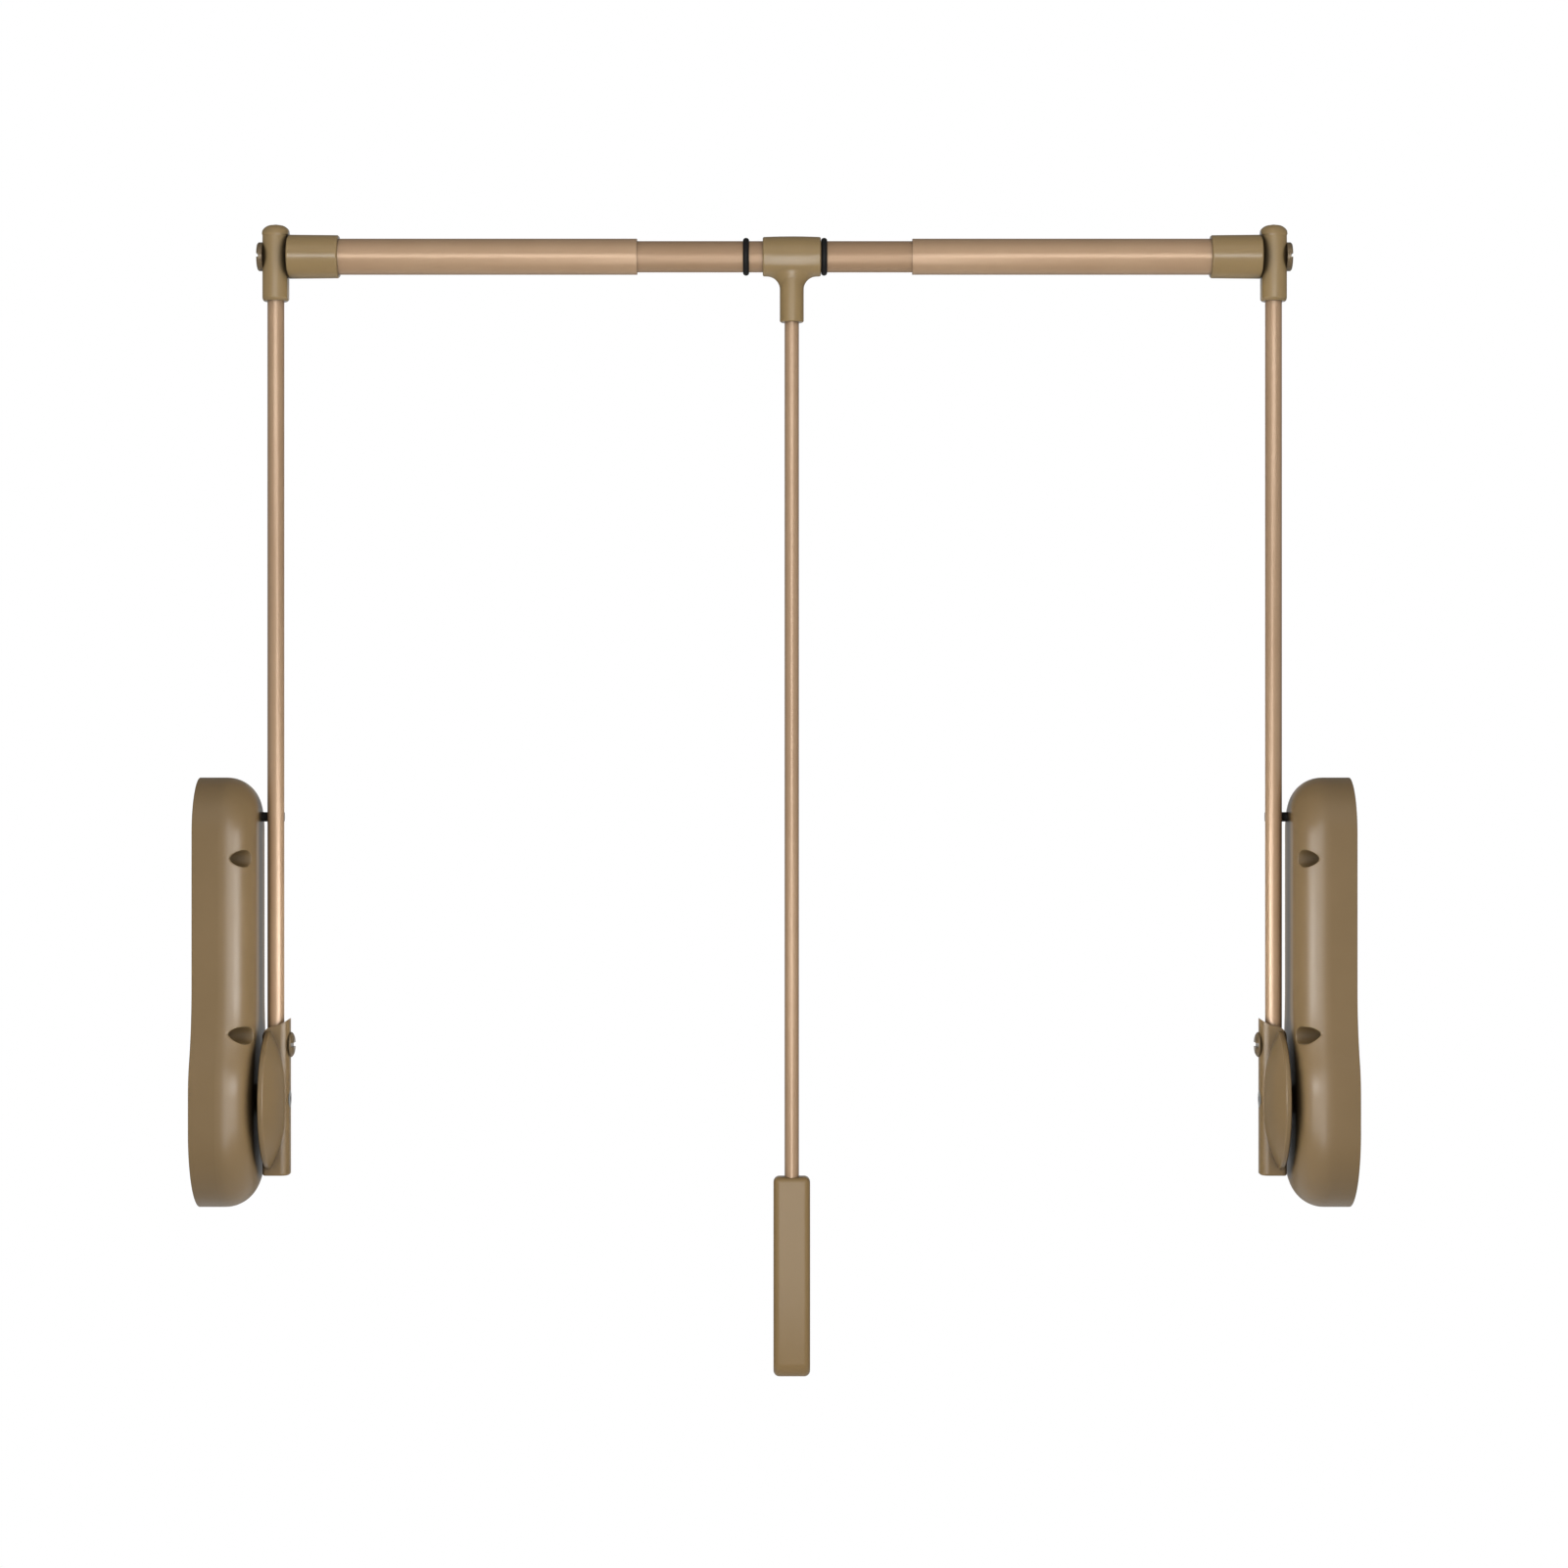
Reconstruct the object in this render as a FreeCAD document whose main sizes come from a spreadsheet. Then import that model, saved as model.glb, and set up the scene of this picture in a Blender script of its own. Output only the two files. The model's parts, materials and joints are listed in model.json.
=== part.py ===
import FreeCAD, Part
import os
import re
import Sketcher

# A pull-down wardrobe rail: two spring-assisted side units carry a telescopic rail on two
# swinging arms, and a pull rod with a handle hangs from a tee that runs on the rail.
# Frame, in millimetres: the origin is the centre of the left wall plate's four screw holes,
# on the wall face. +X runs across the wardrobe to the right wall, -Y faces the user, +Z is up.
# The right-hand pieces are mirror images of the left-hand ones.

# ---------------------------------------------------------------- driving dimensions

SIZES = {
    # Whole product
    "opening_width": 960,
    "rail_above_pivot": 705,
    "swing_angle": 120,
    "slide_fit": 0.05,
    "face_gap": 0.3,
    "overrun": 1,
    "tip_gap": 1,
    # Wall plate
    "plate_thick": 2.5,
    "plate_inset": 0.3,
    "hole_pitch_across": 82,
    "hole_pitch_up": 146,
    "holes_above_pivot": 129,
    "wall_hole_radius": 2.75,
    # Housing outline and shell
    "case_depth": 49.5,
    "case_wall": 2.5,
    "case_top": 269,
    "case_top_radius": 46,
    "neck_beyond_holes": 9,
    "bulge_radius": 68,
    "bulge_rise": 8,
    "bulge_drop": 22,
    "blend_radius": 150,
    "case_edge_radius": 28,
    "well_radius": 7.2,
    "well_run": 5,
    "well_wall": 2,
    "well_floor": 3.5,
    # Screws that hold the housing to the plate
    "post_radius": 4,
    "post_across": 40,
    "post_up": 130,
    "post_top": 254,
    "post_bottom": 72,
    "case_screw_radius": 1.5,
    "case_screw_head": 3.2,
    "case_screw_length": 14,
    # Pivot axle and its two bushes
    "axle_radius": 7,
    "axle_flat": 5.5,
    "bush_wall": 2,
    "bush_length": 10,
    "bush_flange_radius": 12,
    "bush_flange": 1.5,
    "boss_wall": 4,
    "clip_thick": 1.2,
    "clip_radius": 11,
    "clip_groove": 1,
    "clip_slot_half": 4.8,
    # Pinion and rack
    "gear_module": 2,
    "pinion_teeth": 18,
    "pressure_angle": 20,
    "gear_backlash": 0.12,
    "gear_root_depth": 2.5,
    "gear_width": 14,
    "rack_teeth_above": 1,
    "rack_teeth_spare": 2,
    "rack_body": 8,
    "rack_head_up": 46,
    "rack_head": 6,
    "guide_top": 28,
    "guide_bottom": 44,
    "guide_back": 6,
    "guide_cheek": 3,
    "guide_lip": 2,
    # Spring and damper column
    "column_top": 214,
    "bracket_thick": 3,
    "bracket_half": 13.5,
    "bracket_foot": 22,
    "damper_radius": 9,
    "damper_bottom": 112,
    "damper_edge": 1,
    "damper_stud_radius": 5,
    "damper_stud": 5,
    "piston_radius": 3,
    "piston_length": 79,
    "piston_bore_depth": 64,
    "spring_wire": 3,
    "spring_gap": 0.6,
    "spring_turns": 8,
    # Upright stop
    "stop_up": 236,
    "stop_pin_radius": 2.5,
    "stop_radius": 4,
    "stop_pin_depth": 9,
    "stop_boss_wall": 3,
    "stop_short": 1.5,
    # Arm tube and its plug
    "arm_gap": 5.9,
    "arm_radius": 7,
    "arm_wall": 1.2,
    "arm_foot": 14.5,
    "arm_above_rail": 17,
    "plug_top": 59,
    # Arm holder
    "disc_radius": 58.5,
    "disc_gap": 5.5,
    "disc_rim": 5,
    "disc_dome": 11,
    "disc_dome_radius": 18,
    "disc_dome_bend": 90,
    "disc_edge": 1.5,
    "holder_back": 3,
    "holder_face": 5.1,
    "holder_side": 4,
    "holder_top": 67.5,
    "holder_lip_drop": 6,
    "holder_lip_bend": 30,
    "holder_shoulder": 10,
    "holder_bottom": 63.5,
    "holder_round": 7.5,
    "holder_back_round": 2.5,
    "holder_end_round": 2,
    "holder_bolt_up": 45.5,
    "bolt_radius": 4,
    "bolt_clearance": 0.2,
    "holder_head_radius": 10.5,
    "holder_head": 3.7,
    "holder_head_rim": 1.2,
    "holder_head_bend": 7.4,
    "holder_head_flat": 5.8,
    "holder_slot": 3.6,
    "holder_slot_depth": 2.2,
    "holder_bolt_in": 3.2,
    "axle_screw_head": 7.5,
    "axle_screw_cone": 3.5,
    "axle_screw_key": 5,
    "axle_screw_key_depth": 3,
    "axle_end": 66,
    "tap_depth": 14,
    # Arm head and rail socket
    "head_radius": 12,
    "head_flat": 10.4,
    "head_below": 37.3,
    "head_above": 27,
    "head_cap": 9,
    "head_cap_radius": 12.4,
    "head_cap_flat": 10.9,
    "head_foot_bevel": 2.2,
    "head_top_crown": 1.2,
    "head_bolt_head": 12,
    "head_bolt_height": 4.6,
    "head_bolt_bevel": 1,
    "head_bolt_slot": 3,
    "head_bolt_slot_depth": 1.6,
    "socket_length": 42.5,
    "socket_floor": 6,
    "socket_radius": 18.3,
    "socket_mouth": 17.9,
    "socket_chamfer": 1,
    "socket_boss_radius": 8,
    "socket_boss": 12,
    # Rail tubes
    "rail_radius": 15,
    "rail_wall": 1.5,
    "rail_tube_length": 286,
    "liner_length": 20,
    "liner_wall": 0.45,
    "inner_radius": 13,
    "inner_wall": 1.2,
    "inner_length": 510,
    "plug_flange": 2,
    "plug_spigot": 12,
    # Tee, stop rings and pull rod
    "tee_offset": 14.3,
    "tee_length": 48.5,
    "tee_radius": 16.4,
    "tee_crown": 0.5,
    "tee_neck_radius": 10,
    "tee_drop": 55,
    "tee_fillet": 11,
    "tee_chamfer": 1,
    "tee_end_edge": 0.8,
    "ring_width": 5,
    "ring_radius": 15.7,
    "ring_shoulder": 14,
    "ring_gap": 11.5,
    "rod_radius": 6,
    "rod_wall": 1,
    "rod_in_tee": 30,
    "rod_in_handle": 42,
    "set_screw_radius": 2,
    "set_screw_in": 11,
    # Handle
    "handle_top": 65,
    "handle_length": 167.8,
    "handle_width": 30.6,
    "handle_front": 8.5,
    "handle_back": 13,
    "handle_belly": 5,
    "handle_palm": 3,
    "handle_side_edge": 5,
    "handle_end_edge": 5.5,
    "handle_foot_edge": 13.5,
    "handle_screw_down": 28,
}

doc = FreeCAD.newDocument("pull_down_rail")
sheet = doc.addObject("Spreadsheet::Sheet", "Sizes")
for row, (alias, size) in enumerate(SIZES.items(), start=1):
    sheet.set(f"A{row}", alias)
    sheet.set(f"B{row}", str(size))
    sheet.setAlias(f"B{row}", alias)
doc.recompute()

# ---------------------------------------------------------------- places worked out from them

PIVOT_Z = "-holes_above_pivot"
RAIL_Z = "(rail_above_pivot - holes_above_pivot)"
MIDDLE_X = "opening_width / 2"
NECK_HALF = "(hole_pitch_across / 2 + neck_beyond_holes)"
ARM_X = "(case_depth + arm_gap + arm_radius)"
HOLDER_BACK_X = f"({ARM_X} - arm_radius - holder_back)"
HOLDER_FACE_X = f"({ARM_X} + arm_radius + holder_face)"
HUB_X = "(case_depth + bush_flange + face_gap)"
BUSH_RADIUS = "(axle_radius + slide_fit + bush_wall)"
WALL_BUSH_X = "plate_thick"
CASE_BUSH_X = "(case_depth - bush_length)"
GEAR_X = "(plate_thick + bush_length + bush_flange + face_gap)"
GEAR_MID_X = f"({GEAR_X} + gear_width / 2)"
PITCH_RADIUS = "(gear_module * pinion_teeth / 2)"
ROOT_DEPTH = "gear_root_depth"
TOOTH_PITCH = "(gear_module * pi)"
RACK_TEETH_BELOW = "(ceil(swing_angle / 360 * pinion_teeth) + rack_teeth_spare)"
RACK_BACK_Y = f"({PITCH_RADIUS} + {ROOT_DEPTH} + rack_body)"
RACK_TOP_Z = "(rack_head_up + rack_head)"
SPRING_RADIUS = "(damper_radius + spring_gap + spring_wire / 2)"
STOP_Y = "(arm_radius + face_gap + stop_radius)"
STOP_END_X = f"({ARM_X} + arm_radius - stop_short)"
SOCKET_X = f"({ARM_X} + head_flat)"
RAIL_TUBE_X = f"({SOCKET_X} + socket_floor)"
LINER_X = f"({RAIL_TUBE_X} + rail_tube_length - liner_length)"
TEE_X = "(opening_width / 2 + tee_offset)"
HANDLE_Z = "(-handle_top - holes_above_pivot)"
DOME_BACK = "(case_depth + disc_gap)"

TOUCHING = 0.01
SAME_SPOT = 1e-6

# ---------------------------------------------------------------- drawing helpers


def linked(formula):
    """Return a size formula with each of its names pointing at the sheet."""
    return re.sub(r"[a-z_]+", lambda word: f"Sizes.{word[0]}" if word[0] in SIZES else word[0], formula)


def amount(formula):
    """Return the number that a size formula stands for now."""
    return float(sheet.evalExpression(linked(formula)))


def bind(thing, field, formula):
    """Tie one property of a document object to a size formula."""
    thing.setExpression(field, linked(formula))


def place(thing, x="0", y="0", z="0"):
    """Put a piece at a point given by three size formulas."""
    for axis, formula in zip("xyz", (x, y, z)):
        if formula != "0":
            bind(thing, f"Placement.Base.{axis}", formula)
    return thing


def new_body(label):
    """Start a piece that is built up from sketches and features."""
    body = doc.addObject("PartDesign::Body", label)
    body.Label = label
    return body


def new_sketch(body, plane, start="0", shift=("0", "0")):
    """Attach a sketch to one of the body's origin planes, raised by start and shifted in its plane."""
    support = [item for item in body.Origin.OriginFeatures if item.Role == plane][0]
    sketch = body.newObject("Sketcher::SketchObject", f"{body.Name}_sketch")
    sketch.AttachmentSupport = [(support, "")]
    sketch.MapMode = "FlatFace"
    for axis, formula in zip("xyz", (shift[0], shift[1], start)):
        if formula != "0":
            bind(sketch, f"AttachmentOffset.Base.{axis}", formula)
    return sketch


def pin_point(sketch, geometry, point, x, y):
    """Fix one point of the drawing at two size formulas."""
    for kind, axis_line, formula in (("DistanceX", -2, x), ("DistanceY", -1, y)):
        if formula == "0":
            sketch.addConstraint(Sketcher.Constraint("PointOnObject", geometry, point, axis_line))
        else:
            index = sketch.addConstraint(Sketcher.Constraint(kind, -1, 1, geometry, point, amount(formula)))
            bind(sketch, f"Constraints[{index}]", formula)


def arc_through(start, end, radius, turn):
    """Return the shorter arc from start to end that turns left (1) or right (-1)."""
    chord = end - start
    sagitta = radius - (radius ** 2 - (chord.Length / 2) ** 2) ** 0.5
    outward = FreeCAD.Vector(chord.y, -chord.x, 0).normalize() * (sagitta * turn)
    return Part.Arc(start, (start + end) / 2 + outward, end)


def draw_loop(sketch, corners):
    """Draw a closed outline. A corner is (x, y), or (x, y, radius, turn) where an arc leaves it."""
    spots = [FreeCAD.Vector(amount(corner[0]), amount(corner[1]), 0) for corner in corners]
    first = sketch.GeometryCount
    ends = []
    for index, corner in enumerate(corners):
        start = spots[index]
        end = spots[(index + 1) % len(corners)]
        if len(corner) == 2:
            sketch.addGeometry(Part.LineSegment(start, end), False)
        else:
            sketch.addGeometry(arc_through(start, end, amount(corner[2]), corner[3]), False)
        begins = sketch.getPoint(first + index, 1).distanceToPoint(start) < SAME_SPOT
        ends.append((1, 2) if begins else (2, 1))
    for index, corner in enumerate(corners):
        after = (index + 1) % len(corners)
        joint = ("Coincident", first + index, ends[index][1], first + after, ends[after][0])
        sketch.addConstraint(Sketcher.Constraint(*joint))
        pin_point(sketch, first + index, ends[index][0], corner[0], corner[1])
        if len(corner) == 4:
            bend = sketch.addConstraint(Sketcher.Constraint("Radius", first + index, amount(corner[2])))
            bind(sketch, f"Constraints[{bend}]", corner[2])


def draw_circle(sketch, radius, x="0", y="0"):
    """Draw a circle about a point of the sketch."""
    centre = FreeCAD.Vector(amount(x), amount(y), 0)
    circle = sketch.addGeometry(Part.Circle(centre, FreeCAD.Vector(0, 0, 1), amount(radius)), False)
    pin_point(sketch, circle, 3, x, y)
    index = sketch.addConstraint(Sketcher.Constraint("Radius", circle, amount(radius)))
    bind(sketch, f"Constraints[{index}]", radius)


def rectangle(left, right, bottom, top):
    """Return the four corners of a rectangle."""
    return [(left, bottom), (right, bottom), (right, top), (left, top)]


def solid_volume(body):
    """Return the body's volume, or nought before its first feature."""
    doc.recompute()
    return body.Shape.Volume if body.Tip else 0.0


def extrude(body, sketch, length, remove=False, backward=False):
    """Add or remove the sketch's outline swept along its normal, or against it."""
    before = solid_volume(body)
    kind = "PartDesign::Pocket" if remove else "PartDesign::Pad"
    feature = body.newObject(kind, f"{body.Name}_{'pocket' if remove else 'pad'}")
    feature.Profile = sketch
    feature.Reversed = backward != remove
    bind(feature, "Length", length)
    changed = solid_volume(body) - before
    if (changed >= 0) if remove else (changed <= 0):
        raise RuntimeError(f"{feature.Label} changes nothing")
    return feature


def spin(body, sketch, axis, remove=False):
    """Add or remove the sketch's outline turned once round one of the sketch's axes."""
    before = solid_volume(body)
    kind = "PartDesign::Groove" if remove else "PartDesign::Revolution"
    feature = body.newObject(kind, f"{body.Name}_{'groove' if remove else 'turning'}")
    feature.Profile = sketch
    feature.ReferenceAxis = (sketch, [axis])
    feature.Angle = 360
    changed = solid_volume(body) - before
    if (changed >= 0) if remove else (changed <= 0):
        raise RuntimeError(f"{feature.Label} changes nothing")
    return feature


def pad(body, plane, corners, length, start="0", backward=False):
    """Add a prism with a closed outline."""
    sketch = new_sketch(body, plane, start)
    draw_loop(sketch, corners)
    return extrude(body, sketch, length, backward=backward)


def cut(body, plane, corners, length, start="0", backward=False):
    """Remove a prism with a closed outline."""
    sketch = new_sketch(body, plane, start)
    draw_loop(sketch, corners)
    return extrude(body, sketch, length, remove=True, backward=backward)


def rods(body, plane, centres, radius, length, start="0", remove=False, bore=None):
    """Add round bars, or tubes with a bore, or drill round holes, at several centres."""
    sketch = new_sketch(body, plane, start)
    for x, y in centres:
        draw_circle(sketch, radius, x, y)
        if bore:
            draw_circle(sketch, bore, x, y)
    return extrude(body, sketch, length, remove=remove)


def turned_x(body, corners, remove=False, height="0", across="0"):
    """Turn an outline of (x, radius) corners round the body's X axis, or one parallel to it."""
    sketch = new_sketch(body, "XY_Plane", height, ("0", across))
    draw_loop(sketch, corners)
    return spin(body, sketch, "H_Axis", remove)


def turned_z(body, corners, remove=False):
    """Turn an outline of (radius, z) corners round the body's Z axis."""
    sketch = new_sketch(body, "XZ_Plane")
    draw_loop(sketch, corners)
    return spin(body, sketch, "V_Axis", remove)


def turned_y(body, corners):
    """Turn an outline of (radius, y) corners round the body's Y axis."""
    sketch = new_sketch(body, "XY_Plane")
    draw_loop(sketch, corners)
    return spin(body, sketch, "V_Axis")


def dress(body, kind, size_name, size, wanted):
    """Round or chamfer the edges of the body's last feature that pass the test wanted(edge)."""
    doc.recompute()
    base = body.Tip
    names = [f"Edge{number}" for number, edge in enumerate(base.Shape.Edges, start=1) if wanted(edge)]
    if not names:
        raise RuntimeError(f"{body.Label} has no such edge")
    feature = body.newObject(f"PartDesign::{kind}", f"{body.Name}_{kind.lower()}")
    feature.Base = (base, names)
    bind(feature, size_name, size)
    doc.recompute()
    if "Invalid" in feature.State or feature.Shape.isNull():
        raise RuntimeError(f"{feature.Label} fails")
    return feature


def fillet(body, radius, wanted):
    """Round chosen edges."""
    return dress(body, "Fillet", "Radius", radius, wanted)


def chamfer(body, size, wanted):
    """Bevel chosen edges."""
    return dress(body, "Chamfer", "Size", size, wanted)


def flat_at(edge, axis, level):
    """Tell whether an edge lies in the plane where its axis coordinate equals level."""
    box = edge.BoundBox
    low = getattr(box, f"{axis}Min")
    high = getattr(box, f"{axis}Max")
    return abs(low - level) < TOUCHING and abs(high - level) < TOUCHING


def combine(kind, label, *pieces):
    """Join, cut or intersect finished solids, in that order."""
    result = doc.addObject(f"Part::{kind}", label)
    result.Label = label
    if kind in ("MultiFuse", "MultiCommon"):
        result.Shapes = list(pieces)
    elif kind == "Compound":
        result.Links = list(pieces)
    else:
        result.Base, result.Tool = pieces
    return result


# ---------------------------------------------------------------- shared outlines


def pear(inset="0"):
    """Return the side outline of the housing about the pivot, drawn in by inset."""
    neck = f"({NECK_HALF} - {inset})"
    bulge = f"(bulge_radius - {inset})"
    blend = f"(blend_radius + {inset})"
    corner = f"(case_top_radius - {inset})"
    top = f"(case_top - {inset})"
    shoulder = f"({NECK_HALF} - case_top_radius)"
    shoulder_z = "(case_top - case_top_radius)"
    reach = "(bulge_radius + blend_radius)"
    rise = f"sqrt({reach} ^ 2 - ({NECK_HALF} + blend_radius) ^ 2)"
    blend_z = f"(bulge_rise + {rise})"
    touch_y = f"({bulge} * ({NECK_HALF} + blend_radius) / {reach})"
    touch_z = f"(bulge_rise + {bulge} * {rise} / {reach})"
    return [
        (neck, shoulder_z, corner, 1),
        (shoulder, top),
        (f"-{shoulder}", top, corner, 1),
        (f"-{neck}", shoulder_z),
        (f"-{neck}", blend_z, blend, -1),
        (f"-{touch_y}", touch_z, bulge, 1),
        (f"-{bulge}", "bulge_rise"),
        (f"-{bulge}", "-bulge_drop", bulge, 1),
        ("0", f"(-bulge_drop - {bulge})", bulge, 1),
        (bulge, "-bulge_drop"),
        (bulge, "bulge_rise", bulge, 1),
        (touch_y, touch_z, blend, -1),
        (neck, blend_z),
    ]


def wall_hole_centres():
    """Return the four wall screw centres about the pivot."""
    rows = ("(holes_above_pivot - hole_pitch_up / 2)", "(holes_above_pivot + hole_pitch_up / 2)")
    return [(f"{side}hole_pitch_across / 2", row) for side in ("-", "") for row in rows]


def case_screw_centres():
    """Return the four centres of the screws that hold the housing to the plate."""
    return [
        ("-post_across", "post_up"),
        ("post_across", "post_up"),
        ("0", "post_top"),
        ("0", "-post_bottom"),
    ]


def double_d(grow):
    """Return the axle's section with two flats, grown by a fit."""
    radius = f"(axle_radius + {grow})"
    flat = f"(axle_flat + {grow})"
    half = f"sqrt({radius} ^ 2 - {flat} ^ 2)"
    return [
        (flat, f"-{half}"),
        (flat, half, radius, 1),
        (f"-{flat}", half),
        (f"-{flat}", f"-{half}", radius, 1),
    ]


def hexagon(across_flats):
    """Return the corners of a hexagon socket about the axis."""
    reach = f"({across_flats} / sqrt(3))"
    return [(f"{reach} * cos({angle})", f"{reach} * sin({angle})") for angle in range(0, 360, 60)]


def across_slot(width, head):
    """Return the outline of a screwdriver slot that crosses a whole head."""
    return rectangle(f"-2 * {head}", f"2 * {head}", f"-{width} / 2", f"{width} / 2")


# ---------------------------------------------------------------- left side unit, fixed pieces


def make_wall_plate():
    """Steel plate with the wall screw holes and the welded bearing boss."""
    body = place(new_body("left_wall_plate"), z=PIVOT_Z)
    pad(body, "YZ_Plane", pear("(case_wall + plate_inset)"), "plate_thick")
    rods(body, "YZ_Plane", [("0", "0")], f"{BUSH_RADIUS} + boss_wall", "bush_length", "plate_thick")
    rods(body, "YZ_Plane", [("0", "0")], BUSH_RADIUS, "bush_length", "plate_thick", remove=True)
    rods(body, "YZ_Plane", wall_hole_centres(), "wall_hole_radius", "plate_thick", remove=True)
    for across, up in case_screw_centres():
        cone = [
            ("0", "0"),
            ("0", "case_screw_head + slide_fit"),
            ("plate_thick", "case_screw_radius + bolt_clearance"),
            ("plate_thick", "0"),
        ]
        turned_x(body, cone, remove=True, height=up, across=across)
    return body


def screw_wells(label, radius, start, length):
    """Return the wells over the wall screws, the lower two drawn out towards the housing's edge."""
    body = place(new_body(label), z=PIVOT_Z)
    rods(body, "YZ_Plane", wall_hole_centres(), radius, length, start)
    low = "(holes_above_pivot - hole_pitch_up / 2)"
    inner = "(hole_pitch_across / 2)"
    outer = "(hole_pitch_across / 2 + well_run)"
    rods(body, "YZ_Plane", [(f"-{outer}", low), (outer, low)], radius, length, start)
    for left, right in ((f"-{outer}", f"-{inner}"), (inner, outer)):
        pad(body, "YZ_Plane", rectangle(left, right, f"{low} - {radius}", f"{low} + {radius}"), length, start)
    return body


def make_housing_cover():
    """Moulded pear-shaped shell with screw wells, screw posts and the bearing boss."""
    def skin(label, inset, depth, edge):
        body = place(new_body(label), z=PIVOT_Z)
        pad(body, "YZ_Plane", pear(inset), depth)
        level = amount(depth)
        fillet(body, edge, lambda edge_line: flat_at(edge_line, "X", level))
        return body

    def tools(label, sketches):
        body = place(new_body(label), z=PIVOT_Z)
        for centres, radius, start, length in sketches:
            rods(body, "YZ_Plane", centres, radius, length, start)
        return body

    outer = skin("left_case_outer", "0", "case_depth", "case_edge_radius")
    inner = skin("left_case_inner", "case_wall", "(case_depth - case_wall)",
                 "(case_edge_radius - case_wall)")
    behind = "(case_depth - plate_thick)"
    stop_centre = [(STOP_Y, "stop_up")]
    stop_boss = "(stop_pin_depth + case_wall)"
    filling = [screw_wells("left_case_well_walls", "(well_radius + well_wall)", "plate_thick", behind)]
    filling += [
        tools(f"left_case_core_{number}", [sketch])
        for number, sketch in enumerate((
            (case_screw_centres(), "post_radius", "plate_thick", behind),
            ([("0", "0")], f"{BUSH_RADIUS} + boss_wall", CASE_BUSH_X, "bush_length"),
            (stop_centre, "stop_pin_radius + stop_boss_wall", f"case_depth - {stop_boss}", stop_boss),
        ))
    ]
    hollow = combine("Cut", "left_case_hollow", inner, combine("MultiFuse", "left_case_fill", *filling))
    whole = combine("Cut", "left_case_whole", outer, hollow)
    holes = [screw_wells("left_case_wells", "well_radius", "plate_thick + well_floor",
                         f"{behind} - well_floor + overrun")]
    holes += [
        tools(f"left_case_hole_{number}", [sketch])
        for number, sketch in enumerate((
            (wall_hole_centres(), "wall_hole_radius + bolt_clearance", "plate_thick - overrun",
             "well_floor + 2 * overrun"),
            (case_screw_centres(), "case_screw_radius", "plate_thick - overrun",
             "case_screw_length - plate_thick + overrun"),
            ([("0", "0")], BUSH_RADIUS, f"{CASE_BUSH_X} - overrun", "bush_length + 2 * overrun"),
            (stop_centre, "stop_pin_radius", "case_depth - stop_pin_depth", "stop_pin_depth + overrun"),
        ))
    ]
    return combine("Cut", "left_housing_cover", whole, combine("MultiFuse", "left_case_holes", *holes))


def make_cover_screws():
    """Four countersunk screws from the plate into the housing's posts."""
    screws = []
    for number, (across, up) in enumerate(case_screw_centres()):
        body = place(new_body(f"left_case_screw_{number}"), y=across, z=f"{up} - holes_above_pivot")
        turned_x(body, [
            ("0", "0"),
            ("0", "case_screw_head"),
            ("plate_thick", "case_screw_radius"),
            ("case_screw_length - 2 * tip_gap", "case_screw_radius"),
            ("case_screw_length - tip_gap", "0"),
        ])
        screws.append(body)
    return combine("Compound", "left_cover_screws", *screws)


def make_pivot_bushes():
    """Two alike flanged bearing bushes, one in the plate's boss and one in the housing's."""
    bushes = []
    for number, seat in enumerate((WALL_BUSH_X, CASE_BUSH_X)):
        body = place(new_body(f"left_bush_{number}"), x=seat, z=PIVOT_Z)
        turned_x(body, [
            ("0", "axle_radius + slide_fit"),
            ("bush_length + bush_flange", "axle_radius + slide_fit"),
            ("bush_length + bush_flange", "bush_flange_radius"),
            ("bush_length", "bush_flange_radius"),
            ("bush_length", BUSH_RADIUS),
            ("0", BUSH_RADIUS),
        ])
        bushes.append(body)
    return combine("Compound", "left_pivot_bushes", *bushes)


def make_stop_peg():
    """Steel pin pressed into the housing's boss, behind the upright arm."""
    body = place(new_body("left_stop_peg"), y=STOP_Y, z="stop_up - holes_above_pivot")
    turned_x(body, [
        ("case_depth - stop_pin_depth", "0"),
        (STOP_END_X, "0"),
        (STOP_END_X, "stop_pin_radius"),
        ("case_depth - stop_pin_depth", "stop_pin_radius"),
    ])
    return body


def make_stop_sleeve():
    """Rubber sleeve on the stop peg."""
    body = place(new_body("left_stop_sleeve"), y=STOP_Y, z="stop_up - holes_above_pivot")
    rods(body, "YZ_Plane", [("0", "0")], "stop_radius", f"{STOP_END_X} - case_depth", "case_depth",
         bore="stop_pin_radius")
    return body


def make_rack_guide():
    """Moulded channel on the plate that keeps the rack against the pinion."""
    body = place(new_body("left_rack_guide"), z=PIVOT_Z)
    channel_side = f"({GEAR_X} - slide_fit)"
    channel_far = f"({GEAR_X} + gear_width + slide_fit)"
    lip = f"({PITCH_RADIUS} + {ROOT_DEPTH} + guide_lip)"
    back = f"({RACK_BACK_Y} + slide_fit)"
    far = f"({channel_far} + guide_cheek)"
    section = [
        ("plate_thick", lip),
        (channel_side, lip),
        (channel_side, back),
        (channel_far, back),
        (channel_far, lip),
        (far, lip),
        (far, f"{back} + guide_back"),
        ("plate_thick", f"{back} + guide_back"),
    ]
    pad(body, "XY_Plane", section, "guide_bottom + guide_top", "-guide_bottom")
    return body


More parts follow.
